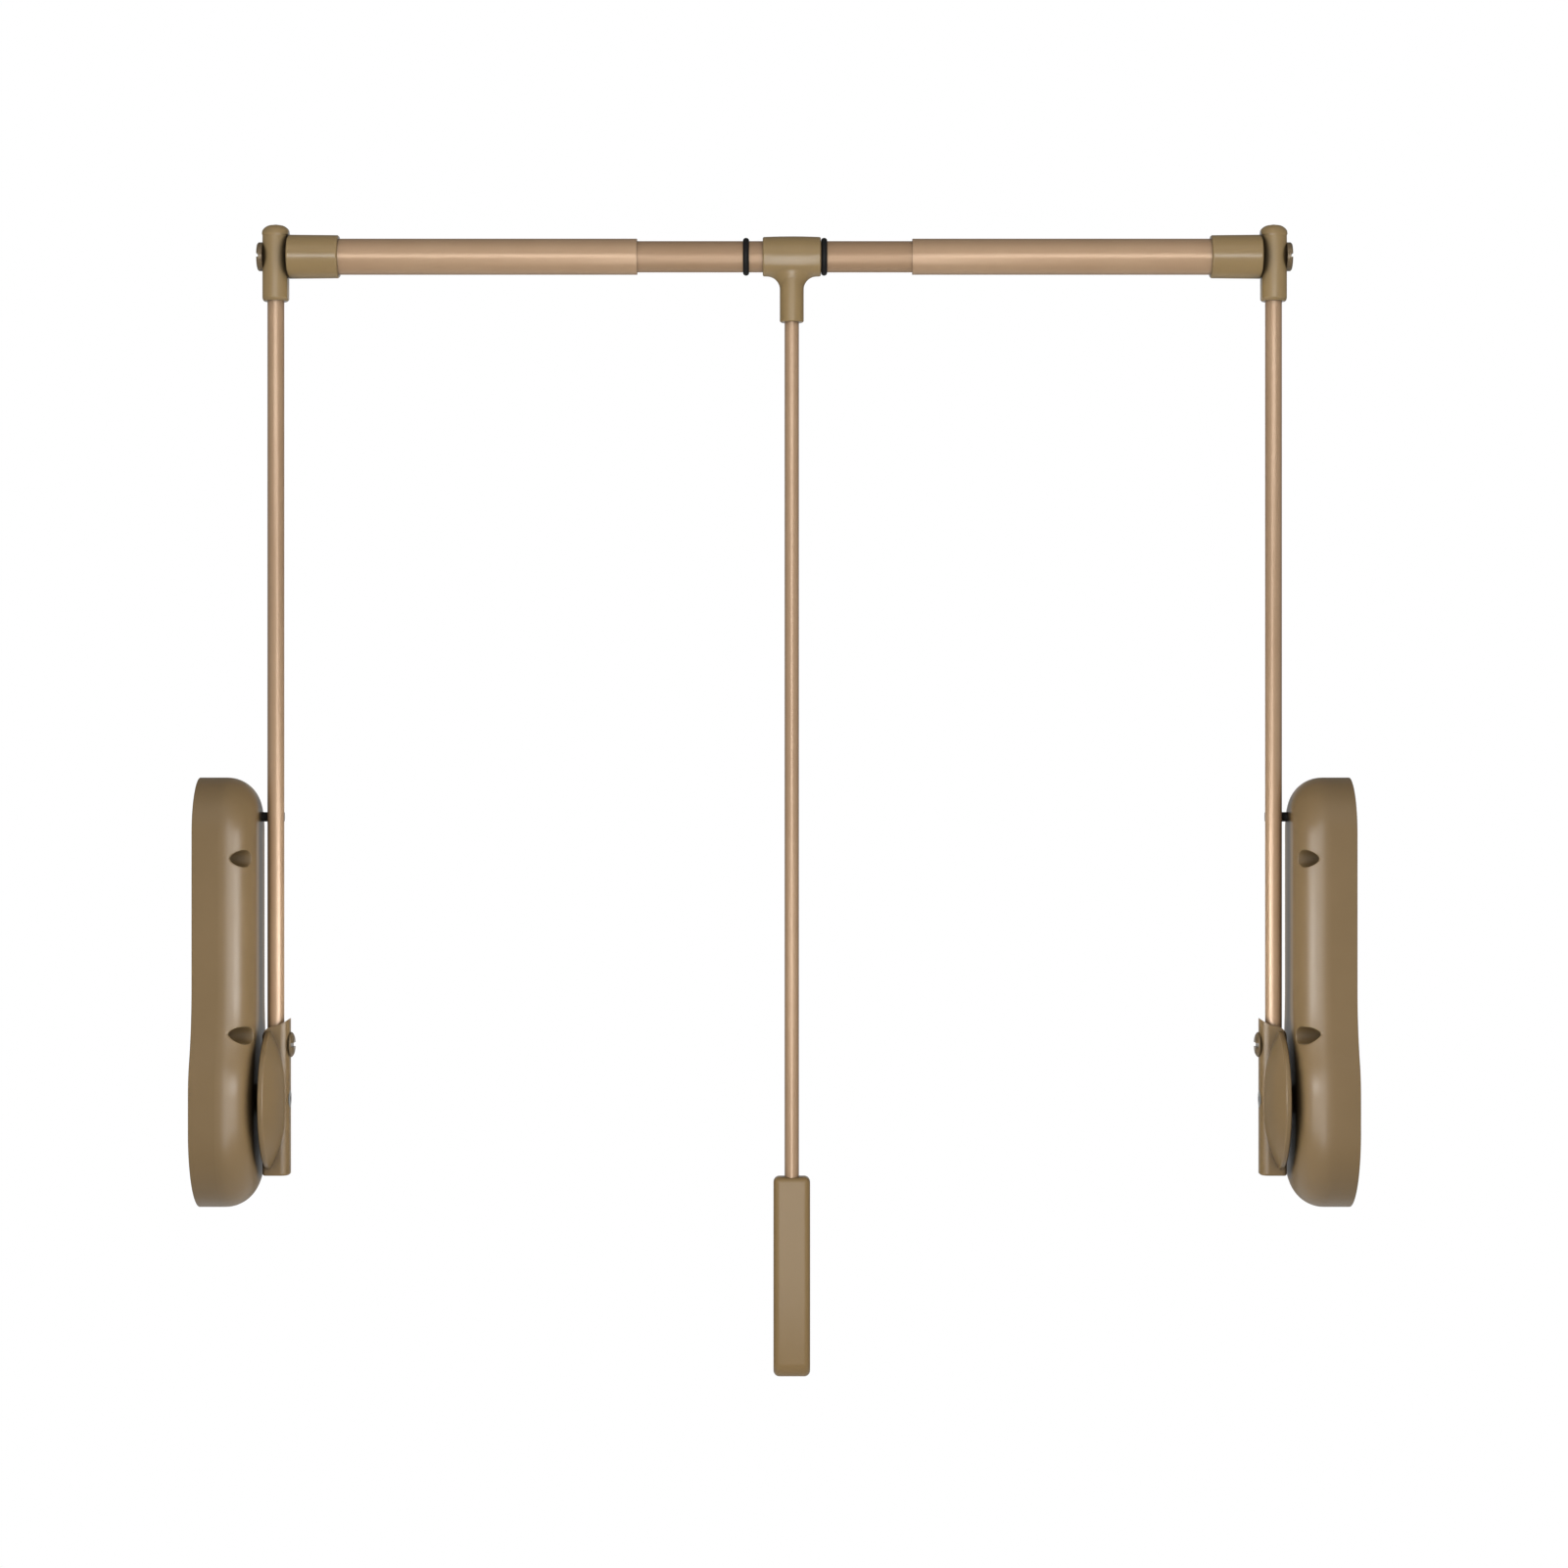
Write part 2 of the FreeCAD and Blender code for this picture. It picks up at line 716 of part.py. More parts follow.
def make_spring_bracket():
    """Bent steel bracket on the plate that holds the top of the spring and the damper."""
    body = place(new_body("left_spring_bracket"), y=PITCH_RADIUS, z=PIVOT_Z)
    outer = f"({GEAR_MID_X} + bracket_half)"
    section = [
        ("plate_thick", "column_top"),
        (outer, "column_top"),
        (outer, "column_top + bracket_thick"),
        ("plate_thick + 2 * bracket_thick", "column_top + bracket_thick", "bracket_thick", -1),
        ("plate_thick + bracket_thick", "column_top + 2 * bracket_thick"),
        ("plate_thick + bracket_thick", "column_top + bracket_foot"),
        ("plate_thick", "column_top + bracket_foot"),
    ]
    pad(body, "XZ_Plane", section, "2 * bracket_half", "-bracket_half")
    rods(body, "XY_Plane", [(GEAR_MID_X, "0")], "damper_stud_radius", "bracket_thick", "column_top",
         remove=True)
    return body


def make_damper_cylinder():
    """Hydraulic damper body that hangs from the bracket inside the spring."""
    body = place(new_body("left_damper_cylinder"), x=GEAR_MID_X, y=PITCH_RADIUS, z=PIVOT_Z)
    turned_z(body, [
        ("piston_radius + slide_fit", "damper_bottom"),
        ("damper_radius - damper_edge", "damper_bottom"),
        ("damper_radius", "damper_bottom + damper_edge"),
        ("damper_radius", "column_top"),
        ("damper_stud_radius", "column_top"),
        ("damper_stud_radius", "column_top + damper_stud"),
        ("0", "column_top + damper_stud"),
        ("0", "damper_bottom + piston_bore_depth"),
        ("piston_radius + slide_fit", "damper_bottom + piston_bore_depth"),
    ])
    return body


def make_assist_spring(label, x):
    """Coil spring between the rack's head and the bracket, round the damper."""
    wire = amount("spring_wire") / 2
    low = amount(RACK_TOP_Z) + wire
    height = amount("column_top") - wire - low
    radius = amount(SPRING_RADIUS)
    line = Part.makeHelix(height / amount("spring_turns"), height, radius)
    line.translate(FreeCAD.Vector(0, 0, low))
    section = Part.Wire(Part.makeCircle(wire, FreeCAD.Vector(radius, 0, low), FreeCAD.Vector(0, 1, 0)))
    spring = doc.addObject("Part::Feature", label)
    spring.Label = label
    spring.Shape = Part.Wire(line.Edges).makePipeShell([section], True, True)
    return place(spring, x, PITCH_RADIUS, PIVOT_Z)


# ---------------------------------------------------------------- left side unit, moving pieces


def make_pivot_axle():
    """Pivot axle with a clip groove, two flats at the holder's end and a tapped hole."""
    body = place(new_body("left_pivot_axle"), z=PIVOT_Z)
    start = "(plate_thick + face_gap)"
    groove = f"({GEAR_X} + gear_width)"
    groove_end = f"({groove} + clip_thick + slide_fit)"
    turned_x(body, [
        (start, "0"),
        (start, "axle_radius"),
        (groove, "axle_radius"),
        (groove, "axle_radius - clip_groove"),
        (groove_end, "axle_radius - clip_groove"),
        (groove_end, "axle_radius"),
        ("axle_end", "axle_radius"),
        ("axle_end", "bolt_radius"),
        ("axle_end - tap_depth", "bolt_radius"),
        ("axle_end - tap_depth", "0"),
    ])
    for side in ("-", ""):
        near = f"{side}axle_flat"
        far = f"{side}(axle_radius + overrun)"
        edges = (near, far) if not side else (far, near)
        cut(body, "YZ_Plane", rectangle(*edges, "-2 * axle_radius", "2 * axle_radius"),
            f"axle_end - {HUB_X}", HUB_X)
    return body


def make_axle_clip():
    """Spring clip in the axle's groove, beside the pinion."""
    body = place(new_body("left_axle_clip"), x=f"{GEAR_X} + gear_width", z=PIVOT_Z)
    rods(body, "YZ_Plane", [("0", "0")], "clip_radius", "clip_thick", bore="axle_radius - clip_groove")
    slot = rectangle("-clip_slot_half", "clip_slot_half", "-2 * clip_radius", "0")
    cut(body, "YZ_Plane", slot, "clip_thick")
    return body


def gear_tooth(body):
    """Add one involute tooth, its flanks drawn as arcs, half a pitch off the rack's centre line."""
    base = f"({PITCH_RADIUS} * cos(pressure_angle))"
    tip = f"({PITCH_RADIUS} + gear_module)"
    half = f"(90 / pinion_teeth - gear_backlash / {PITCH_RADIUS} * 90 / pi)"
    base_half = f"({half} + (tan(pressure_angle) * 180 / pi - pressure_angle))"
    tip_pressure = f"acos({base} / {tip})"
    tip_angle = amount(f"{tip_pressure}")
    tip_half = f"({base_half} - (tan({tip_angle}) * 180 / pi - {tip_angle}))"
    middle = "(180 / pinion_teeth)"
    inside = f"({PITCH_RADIUS} - {ROOT_DEPTH} - overrun)"
    flank = f"({base} * tan(pressure_angle))"

    def spot(radius, angle):
        return (f"{radius} * cos({angle})", f"{radius} * sin({angle})")

    corners = [
        spot(inside, f"{middle} - {base_half}"),
        spot(base, f"{middle} - {base_half}") + (flank, 1),
        spot(tip, f"{middle} - {tip_half}") + (tip, 1),
        spot(tip, f"{middle} + {tip_half}") + (flank, 1),
        spot(base, f"{middle} + {base_half}"),
        spot(inside, f"{middle} + {base_half}"),
    ]
    return pad(body, "YZ_Plane", corners, "gear_width", GEAR_X)


def make_pinion():
    """Pinion pressed on the axle, in mesh with the rack."""
    body = place(new_body("left_pinion"), z=PIVOT_Z)
    rods(body, "YZ_Plane", [("0", "0")], f"{PITCH_RADIUS} - {ROOT_DEPTH}", "gear_width", GEAR_X,
         bore="axle_radius")
    tooth = gear_tooth(body)
    ring = body.newObject("PartDesign::PolarPattern", "left_pinion_ring")
    ring.Originals = [tooth]
    ring.Axis = ([item for item in body.Origin.OriginFeatures if item.Role == "X_Axis"][0], [""])
    ring.Angle = 360
    bind(ring, "Occurrences", "pinion_teeth")
    body.Tip = ring
    doc.recompute()
    return body


def make_rack():
    """Toothed rack whose head pushes the spring and holds the damper's rod."""
    body = place(new_body("left_rack"), z=PIVOT_Z)
    root = f"({PITCH_RADIUS} + {ROOT_DEPTH})"
    below = RACK_TEETH_BELOW
    foot = f"(-{below} * {TOOTH_PITCH} - {TOOTH_PITCH} / 2)"
    pad(body, "YZ_Plane", rectangle(root, RACK_BACK_Y, foot, "rack_head_up"), "gear_width", GEAR_X)
    sketch = new_sketch(body, "XY_Plane", "rack_head_up")
    draw_circle(sketch, f"{SPRING_RADIUS} + spring_wire / 2", GEAR_MID_X, PITCH_RADIUS)
    extrude(body, sketch, "rack_head")
    rods(body, "XY_Plane", [(GEAR_MID_X, PITCH_RADIUS)], "piston_radius", "rack_head", "rack_head_up",
         remove=True)
    middle = f"(-{below} * {TOOTH_PITCH})"
    slope = "tan(pressure_angle)"
    half = f"({TOOTH_PITCH} / 4 - gear_backlash / 2)"
    root_half = f"({half} + ({ROOT_DEPTH} + overrun) * {slope})"
    tip_half = f"({half} - gear_module * {slope})"
    tip = f"{PITCH_RADIUS} - gear_module"
    tooth = pad(body, "YZ_Plane", [
        (f"{root} + overrun", f"{middle} - {root_half}"),
        (f"{root} + overrun", f"{middle} + {root_half}"),
        (tip, f"{middle} + {tip_half}"),
        (tip, f"{middle} - {tip_half}"),
    ], "gear_width", GEAR_X)
    row = body.newObject("PartDesign::LinearPattern", "left_rack_row")
    row.Originals = [tooth]
    row.Direction = ([item for item in body.Origin.OriginFeatures if item.Role == "Z_Axis"][0], [""])
    bind(row, "Length", f"({below} + rack_teeth_above) * {TOOTH_PITCH}")
    bind(row, "Occurrences", f"{below} + rack_teeth_above + 1")
    body.Tip = row
    doc.recompute()
    return body


def make_damper_rod():
    """Piston rod from the rack's head up into the damper."""
    body = place(new_body("left_damper_rod"), x=GEAR_MID_X, y=PITCH_RADIUS, z=PIVOT_Z)
    rods(body, "XY_Plane", [("0", "0")], "piston_radius", "piston_length", "rack_head_up")
    return body


def make_arm_holder():
    """Swinging domed disc with a raised socket for the arm tube."""
    body = place(new_body("left_arm_holder"), z=PIVOT_Z)
    half = "(arm_radius + holder_side)"
    pad(body, "YZ_Plane", rectangle(f"-{half}", half, "-holder_bottom", "holder_top"),
        f"{HOLDER_FACE_X} - {HOLDER_BACK_X}", HOLDER_BACK_X)
    side = amount(half)
    face = amount(HOLDER_FACE_X)
    back = amount(HOLDER_BACK_X)
    fillet(body, "holder_round", lambda edge: flat_at(edge, "X", face) and edge.BoundBox.ZLength > side)
    fillet(body, "holder_back_round", lambda edge: flat_at(edge, "X", back) and edge.BoundBox.ZLength > side)
    foot = -amount("holder_bottom")
    fillet(body, "holder_end_round", lambda edge: flat_at(edge, "Z", foot) and not flat_at(edge, "X", back))
    lip = [
        (f"{HOLDER_BACK_X} - overrun", "holder_top - holder_lip_drop - holder_shoulder"),
        (HOLDER_BACK_X, "holder_top - holder_lip_drop - holder_shoulder", "holder_shoulder", -1),
        (f"{HOLDER_BACK_X} + holder_shoulder", "holder_top - holder_lip_drop", "holder_lip_bend", 1),
        (HOLDER_FACE_X, "holder_top"),
        (f"{HOLDER_FACE_X} + overrun", "holder_top"),
        (f"{HOLDER_FACE_X} + overrun", "holder_top + holder_lip_drop"),
        (f"{HOLDER_BACK_X} - overrun", "holder_top + holder_lip_drop"),
    ]
    cut(body, "XZ_Plane", lip, f"2 * {half}", f"-{half}")
    rim_end = f"({DOME_BACK} + disc_rim)"
    turned_x(body, [
        (HUB_X, "0"),
        (HUB_X, f"{BUSH_RADIUS} + boss_wall"),
        (DOME_BACK, f"{BUSH_RADIUS} + boss_wall + disc_gap / 2"),
        (DOME_BACK, "disc_radius - disc_edge", "disc_edge", -1),
        (f"{DOME_BACK} + disc_edge", "disc_radius"),
        (f"{rim_end} - disc_edge", "disc_radius", "disc_edge", -1),
        (rim_end, "disc_radius - disc_edge", "disc_dome_bend", -1),
        (f"{rim_end} + disc_dome", "disc_dome_radius"),
        (f"{rim_end} + disc_dome", "0"),
    ])
    rods(body, "XY_Plane", [(ARM_X, "0")], "arm_radius + slide_fit", "holder_top", "arm_foot", remove=True)
    cut(body, "YZ_Plane", double_d("slide_fit"), f"axle_end + slide_fit - {HUB_X}", HUB_X)
    turned_x(body, [
        ("axle_end", "0"),
        ("axle_end", "bolt_radius + bolt_clearance"),
        (f"{HOLDER_FACE_X} - axle_screw_cone", "bolt_radius + bolt_clearance"),
        (HOLDER_FACE_X, "axle_screw_head + bolt_clearance"),
        (HOLDER_FACE_X, "0"),
    ], remove=True)
    turned_x(body, [
        (ARM_X, "0"),
        (ARM_X, "bolt_radius + bolt_clearance"),
        (f"{HOLDER_FACE_X} + overrun", "bolt_radius + bolt_clearance"),
        (f"{HOLDER_FACE_X} + overrun", "0"),
    ], remove=True, height="holder_bolt_up")
    return body


def make_axle_screw():
    """Countersunk screw that clamps the holder to the axle."""
    body = place(new_body("left_axle_screw"), z=PIVOT_Z)
    turned_x(body, [
        ("axle_end - tap_depth + tip_gap", "0"),
        ("axle_end - tap_depth + tip_gap", "bolt_radius"),
        (f"{HOLDER_FACE_X} - axle_screw_cone - slide_fit", "bolt_radius"),
        (f"{HOLDER_FACE_X} - slide_fit", "axle_screw_head"),
        (f"{HOLDER_FACE_X} - slide_fit", "0"),
    ])
    cut(body, "YZ_Plane", hexagon("axle_screw_key"), "axle_screw_key_depth",
        f"{HOLDER_FACE_X} - slide_fit - axle_screw_key_depth")
    return body


def make_holder_bolt():
    """Domed, slotted bolt through the holder and the arm tube into the plug."""
    body = place(new_body("left_holder_bolt"), z="holder_bolt_up - holes_above_pivot")
    tip = f"({ARM_X} - holder_bolt_in)"
    turned_x(body, [
        (tip, "0"),
        (tip, "bolt_radius"),
        (HOLDER_FACE_X, "bolt_radius"),
        (HOLDER_FACE_X, "holder_head_radius"),
        (f"{HOLDER_FACE_X} + holder_head_rim", "holder_head_radius", "holder_head_bend", -1),
        (f"{HOLDER_FACE_X} + holder_head", "holder_head_flat"),
        (f"{HOLDER_FACE_X} + holder_head", "0"),
    ])
    cut(body, "YZ_Plane", across_slot("holder_slot", "holder_head_radius"), "holder_slot_depth",
        f"{HOLDER_FACE_X} + holder_head - holder_slot_depth")
    return body


def make_arm_plug():
    """Steel plug in the foot of the arm tube, tapped for the holder's bolt."""
    body = place(new_body("left_arm_plug"), x=ARM_X, z=PIVOT_Z)
    radius = "(arm_radius - arm_wall - slide_fit)"
    rods(body, "XY_Plane", [("0", "0")], radius, "plug_top - arm_foot", "arm_foot")
    turned_x(body, [
        ("-holder_bolt_in", "0"),
        ("-holder_bolt_in", "bolt_radius"),
        ("arm_radius", "bolt_radius"),
        ("arm_radius", "0"),
    ], remove=True, height="holder_bolt_up")
    return body


def make_arm_tube():
    """Swinging arm, a round tube drilled for its two bolts."""
    body = place(new_body("left_arm_tube"), x=ARM_X, z=PIVOT_Z)
    length = "rail_above_pivot + arm_above_rail - arm_foot"
    rods(body, "XY_Plane", [("0", "0")], "arm_radius", length, "arm_foot", bore="arm_radius - arm_wall")
    hole = "bolt_radius + bolt_clearance"
    rods(body, "YZ_Plane", [("0", "holder_bolt_up")], hole, "2 * arm_radius", "0", remove=True)
    rods(body, "YZ_Plane", [("0", "rail_above_pivot")], hole, "4 * arm_radius", "-2 * arm_radius",
         remove=True)
    return body


def make_arm_head():
    """Capped connector on the top of the arm, with a flat on each side for the bolt and the rail socket."""
    body = place(new_body("left_arm_head"), x=ARM_X, z=RAIL_Z)
    cap_z = "(head_above - head_cap)"
    turned_z(body, [
        ("0", "-head_below"),
        ("head_radius - head_foot_bevel", "-head_below"),
        ("head_radius", "head_foot_bevel - head_below"),
        ("head_radius", f"{cap_z} - head_top_crown"),
        ("head_cap_radius", cap_z, "head_cap", 1),
        ("head_cap_radius / 2", "head_above - head_top_crown"),
        ("0", "head_above"),
    ])
    for side in ("-", ""):
        flat = [
            (f"{side}head_flat", "-head_below - overrun"),
            (f"{side}head_flat", cap_z),
            (f"{side}head_cap_flat", cap_z),
            (f"{side}head_cap_flat", "head_above"),
            (f"{side}2 * head_radius", "head_above"),
            (f"{side}2 * head_radius", "-head_below - overrun"),
        ]
        cut(body, "XZ_Plane", flat, "4 * head_radius", "-2 * head_radius")
    rods(body, "XY_Plane", [("0", "0")], "arm_radius + slide_fit", "head_below + arm_above_rail",
         "-head_below", remove=True)
    rods(body, "YZ_Plane", [("0", "0")], "bolt_radius + bolt_clearance", "2 * head_flat",
         "-head_flat", remove=True)
    return body


def make_head_bolt():
    """Slotted bolt through the head into the rail socket."""
    body = place(new_body("left_head_bolt"), x=ARM_X, z=RAIL_Z)
    seat = "(-head_flat)"
    tip = "(head_flat + socket_floor + socket_boss - tip_gap)"
    turned_x(body, [
        (f"{seat} - head_bolt_height", "0"),
        (f"{seat} - head_bolt_height", "head_bolt_head - head_bolt_bevel"),
        (f"{seat} - head_bolt_height + head_bolt_bevel", "head_bolt_head"),
        (seat, "head_bolt_head"),
        (seat, "bolt_radius"),
        (tip, "bolt_radius"),
        (tip, "0"),
    ])
    cut(body, "YZ_Plane", across_slot("head_bolt_slot", "head_bolt_head"), "head_bolt_slot_depth",
        f"{seat} - head_bolt_height")
    return body


def make_rail_socket():
    """Cup that holds the end of the outer rail tube, with a tapped boss for the bolt."""
    body = place(new_body("left_rail_socket"), x=SOCKET_X, z=RAIL_Z)
    bore = "(rail_radius + slide_fit)"
    boss_end = "(socket_floor + socket_boss)"
    turned_x(body, [
        ("0", "bolt_radius"),
        (boss_end, "bolt_radius"),
        (boss_end, "socket_boss_radius"),
        ("socket_floor", "socket_boss_radius"),
        ("socket_floor", bore),
        ("socket_length", bore),
        ("socket_length", "socket_mouth - socket_chamfer"),
        ("socket_length - socket_chamfer", "socket_mouth"),
        ("socket_chamfer", "socket_radius"),
        ("0", "socket_radius - socket_chamfer"),
    ])
    return body


def make_outer_tube():
    """Outer rail tube."""
    body = place(new_body("left_outer_tube"), x=RAIL_TUBE_X, z=RAIL_Z)
    rods(body, "YZ_Plane", [("0", "0")], "rail_radius", "rail_tube_length", bore="rail_radius - rail_wall")
    return body


def make_tube_liner():
    """Plastic liner in the mouth of the outer tube, in which the inner tube slides."""
    body = place(new_body("left_tube_liner"), x=LINER_X, z=RAIL_Z)
    outside = "rail_radius - rail_wall"
    rods(body, "YZ_Plane", [("0", "0")], outside, "liner_length", bore=f"{outside} - liner_wall")
    return body


# ---------------------------------------------------------------- middle of the rail


def make_inner_tube():
    """Inner rail tube that joins the two outer tubes."""
    body = place(new_body("inner_tube"), x=f"{MIDDLE_X} - inner_length / 2", z=RAIL_Z)
    rods(body, "YZ_Plane", [("0", "0")], "inner_radius", "inner_length", bore="inner_radius - inner_wall")
    return body


def make_tube_end_plugs():
    """Flanged plugs in both ends of the inner tube, which guide it and stop it pulling out."""
    plugs = []
    flange = "(rail_radius - rail_wall - slide_fit)"
    spigot = "(inner_radius - inner_wall)"
    for number, side in enumerate((1, -1)):
        body = place(new_body(f"tube_plug_{number}"), x=f"{MIDDLE_X} - {side} * inner_length / 2", z=RAIL_Z)
        turned_x(body, [
            (f"-{side} * plug_flange", "0"),
            (f"-{side} * plug_flange", flange),
            ("0", flange),
            ("0", spigot),
            (f"{side} * plug_spigot", spigot),
            (f"{side} * plug_spigot", "0"),
        ])
        plugs.append(body)
    return combine("Compound", "tube_end_plugs", *plugs)


def make_tee():
    """Tee that turns and slides on the inner tube and holds the pull rod in its neck."""
    body = place(new_body("tee_connector"), x=TEE_X, z=RAIL_Z)
    half = "(tee_length / 2)"
    bowed = f"({half} - tee_end_edge)"
    crown_radius = f"(({bowed} ^ 2 + tee_crown ^ 2) / (2 * tee_crown))"
    turned_x(body, [
        (f"-{half}", "0"),
        (f"-{half}", "tee_radius - tee_end_edge"),
        (f"-{bowed}", "tee_radius", crown_radius, -1),
        (bowed, "tee_radius"),
        (half, "tee_radius - tee_end_edge"),
        (half, "0"),
    ])
    rods(body, "XY_Plane", [("0", "0")], "tee_neck_radius", "tee_drop", "-tee_drop")
    reach = amount("tee_neck_radius")
    foot = -amount("tee_drop")
    fillet(body, "tee_fillet", lambda edge: edge.BoundBox.XLength > reach and edge.BoundBox.ZMax < 0
           and not flat_at(edge, "Z", foot))
    chamfer(body, "tee_chamfer", lambda edge: flat_at(edge, "Z", foot))
    rods(body, "YZ_Plane", [("0", "0")], "inner_radius + slide_fit", "2 * tee_length", "-tee_length",
         remove=True)
    rods(body, "XY_Plane", [("0", "0")], "rod_radius + slide_fit", "rod_in_tee", "-tee_drop", remove=True)
    screw = "set_screw_in - tee_drop"
    rods(body, "XZ_Plane", [("0", screw)], "set_screw_radius", "tee_neck_radius", "-tee_neck_radius",
         remove=True)
    return body


def make_ring(label, offset):
    """Rubber stop ring that grips the inner tube, with a rounded rim."""
    body = place(new_body(label), x=f"{TEE_X} + {offset}", z=RAIL_Z)
    half = "(ring_width / 2)"
    bore = "(inner_radius + slide_fit)"
    shoulder = "ring_shoulder"
    rise = f"(ring_radius - {shoulder})"
    bend = f"(({half} ^ 2 + {rise} ^ 2) / (2 * {rise}))"
    turned_x(body, [
        (f"-{half}", bore),
        (f"-{half}", shoulder, bend, -1),
        ("0", "ring_radius", bend, -1),
        (half, shoulder),
        (half, bore),
    ])
    return body


def make_pull_rod():
    """Thin tube from the tee down into the handle."""
    body = place(new_body("pull_rod"), x=TEE_X, z=RAIL_Z)
    bottom = "(-rail_above_pivot - handle_top - rod_in_handle)"
    top = "(rod_in_tee - tee_drop)"
    rods(body, "XY_Plane", [("0", "0")], "rod_radius", f"{top} - {bottom}", bottom,
         bore="rod_radius - rod_wall")
    return body


def make_set_screw(label, z, inner, outer):
    """Grub screw from the rear that presses on the pull rod."""
    body = place(new_body(label), x=TEE_X, z=z)
    socket = "(set_screw_radius / 2)"
    turned_y(body, [
        ("0", inner),
        ("set_screw_radius", inner),
        ("set_screw_radius", outer),
        (socket, outer),
        (socket, f"{outer} - {socket}"),
        ("0", f"{outer} - {socket}"),
    ])
    return body


def make_handle():
    """Moulded grip with a bowed front and a hollowed palm side."""
    body = place(new_body("pull_handle"), x=TEE_X, z=HANDLE_Z)
    middle = "(handle_length / 2)"

    def bow(sagitta):
        return f"(({middle} ^ 2 + {sagitta} ^ 2) / (2 * {sagitta}))"

    pad(body, "YZ_Plane", [
        ("-handle_front", "0", bow("handle_belly"), 1),
        ("-handle_front", "-handle_length"),
        ("handle_back", "-handle_length", bow("handle_palm"), -1),
        ("handle_back", "0"),
    ], "handle_width", "-handle_width / 2")
    foot = -amount("handle_length")
    side = amount("handle_width") / 2
    fillet(body, "handle_foot_edge", lambda edge: flat_at(edge, "Z", foot) and edge.BoundBox.YMax < 0)
    fillet(body, "handle_end_edge", lambda edge: edge.BoundBox.XLength > side and (
        flat_at(edge, "Z", 0) or (flat_at(edge, "Z", foot) and flat_at(edge, "Y", amount("handle_back")))))
    fillet(body, "handle_side_edge", lambda edge: flat_at(edge, "X", side) or flat_at(edge, "X", -side))
    rods(body, "XY_Plane", [("0", "0")], "rod_radius + slide_fit", "2 * rod_in_handle", "-rod_in_handle",
         remove=True)
    rods(body, "XZ_Plane", [("0", "-handle_screw_down")], "set_screw_radius", "2 * handle_back",
         "-2 * handle_back", remove=True)
    return body


# ---------------------------------------------------------------- assembly


def make_left_side():
    """Build every piece of the left side unit and arm."""
    makers = (
        make_wall_plate, make_housing_cover, make_cover_screws, make_pivot_bushes, make_stop_peg,
        make_stop_sleeve, make_rack_guide, make_spring_bracket, make_damper_cylinder, make_pivot_axle,
        make_axle_clip,
        make_pinion, make_rack, make_damper_rod, make_arm_holder, make_axle_screw, make_holder_bolt,
        make_arm_plug, make_arm_tube, make_arm_head, make_head_bolt, make_rail_socket, make_outer_tube,
        make_tube_liner,
    )
    return [maker() for maker in makers]


def mirrored(piece):
    """Return the right-hand twin of a left-hand piece, mirrored in the middle of the opening."""
    label = piece.Label.replace("left_", "right_")
    twin = doc.addObject("Part::Mirroring", label)
    twin.Label = label
    twin.Source = piece
    twin.Normal = FreeCAD.Vector(1, 0, 0)
    bind(twin, "Base.x", MIDDLE_X)
    return twin


def make_middle():
    """Build the inner tube and all that hangs from it."""
    tee_end = "(tee_length / 2)"
    tip = "(rod_radius - slide_fit)"
    palm = "(handle_back - handle_palm / 2)"
    return [
        make_inner_tube(),
        make_tube_end_plugs(),
        make_tee(),
        make_ring("left_stop_ring", f"(-{tee_end} - ring_gap - ring_width / 2)"),
        make_ring("right_stop_ring", f"({tee_end} + face_gap + ring_width / 2)"),
        make_pull_rod(),
        make_handle(),
        make_set_screw("tee_set_screw", f"{RAIL_Z} + set_screw_in - tee_drop", "rod_radius",
                       "(tee_neck_radius - set_screw_radius / 4)"),
        make_set_screw("handle_set_screw", f"{HANDLE_Z} - handle_screw_down", "rod_radius", palm),
    ]


def check_and_write(pieces):
    """Stop on any failed object, then write one STEP file for each piece."""
    doc.recompute()
    failed = [item.Label for item in doc.Objects if {"Invalid", "Error"} & set(item.State)]
    if failed:
        raise RuntimeError(f"failed objects: {failed}")
    for piece in pieces:
        if piece.Shape.isNull() or not piece.Shape.isValid() or piece.Shape.Volume <= 0:
            raise RuntimeError(f"{piece.Label} has no valid solid")
    os.makedirs("parts", exist_ok=True)
    for piece in pieces:
        piece.Shape.exportStep(f"parts/{piece.Label}.step")
        print(f"{piece.Label}: {piece.Shape.Volume / 1000:.2f} cm3")


left_side = make_left_side()
right_side = [mirrored(piece) for piece in left_side]
springs = [
    make_assist_spring("left_assist_spring", GEAR_MID_X),
    make_assist_spring("right_assist_spring", f"opening_width - {GEAR_MID_X}"),
]
check_and_write(left_side + right_side + springs + make_middle())
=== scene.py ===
import json
import logging
import math
from dataclasses import dataclass, replace
from enum import Enum
from typing import Any

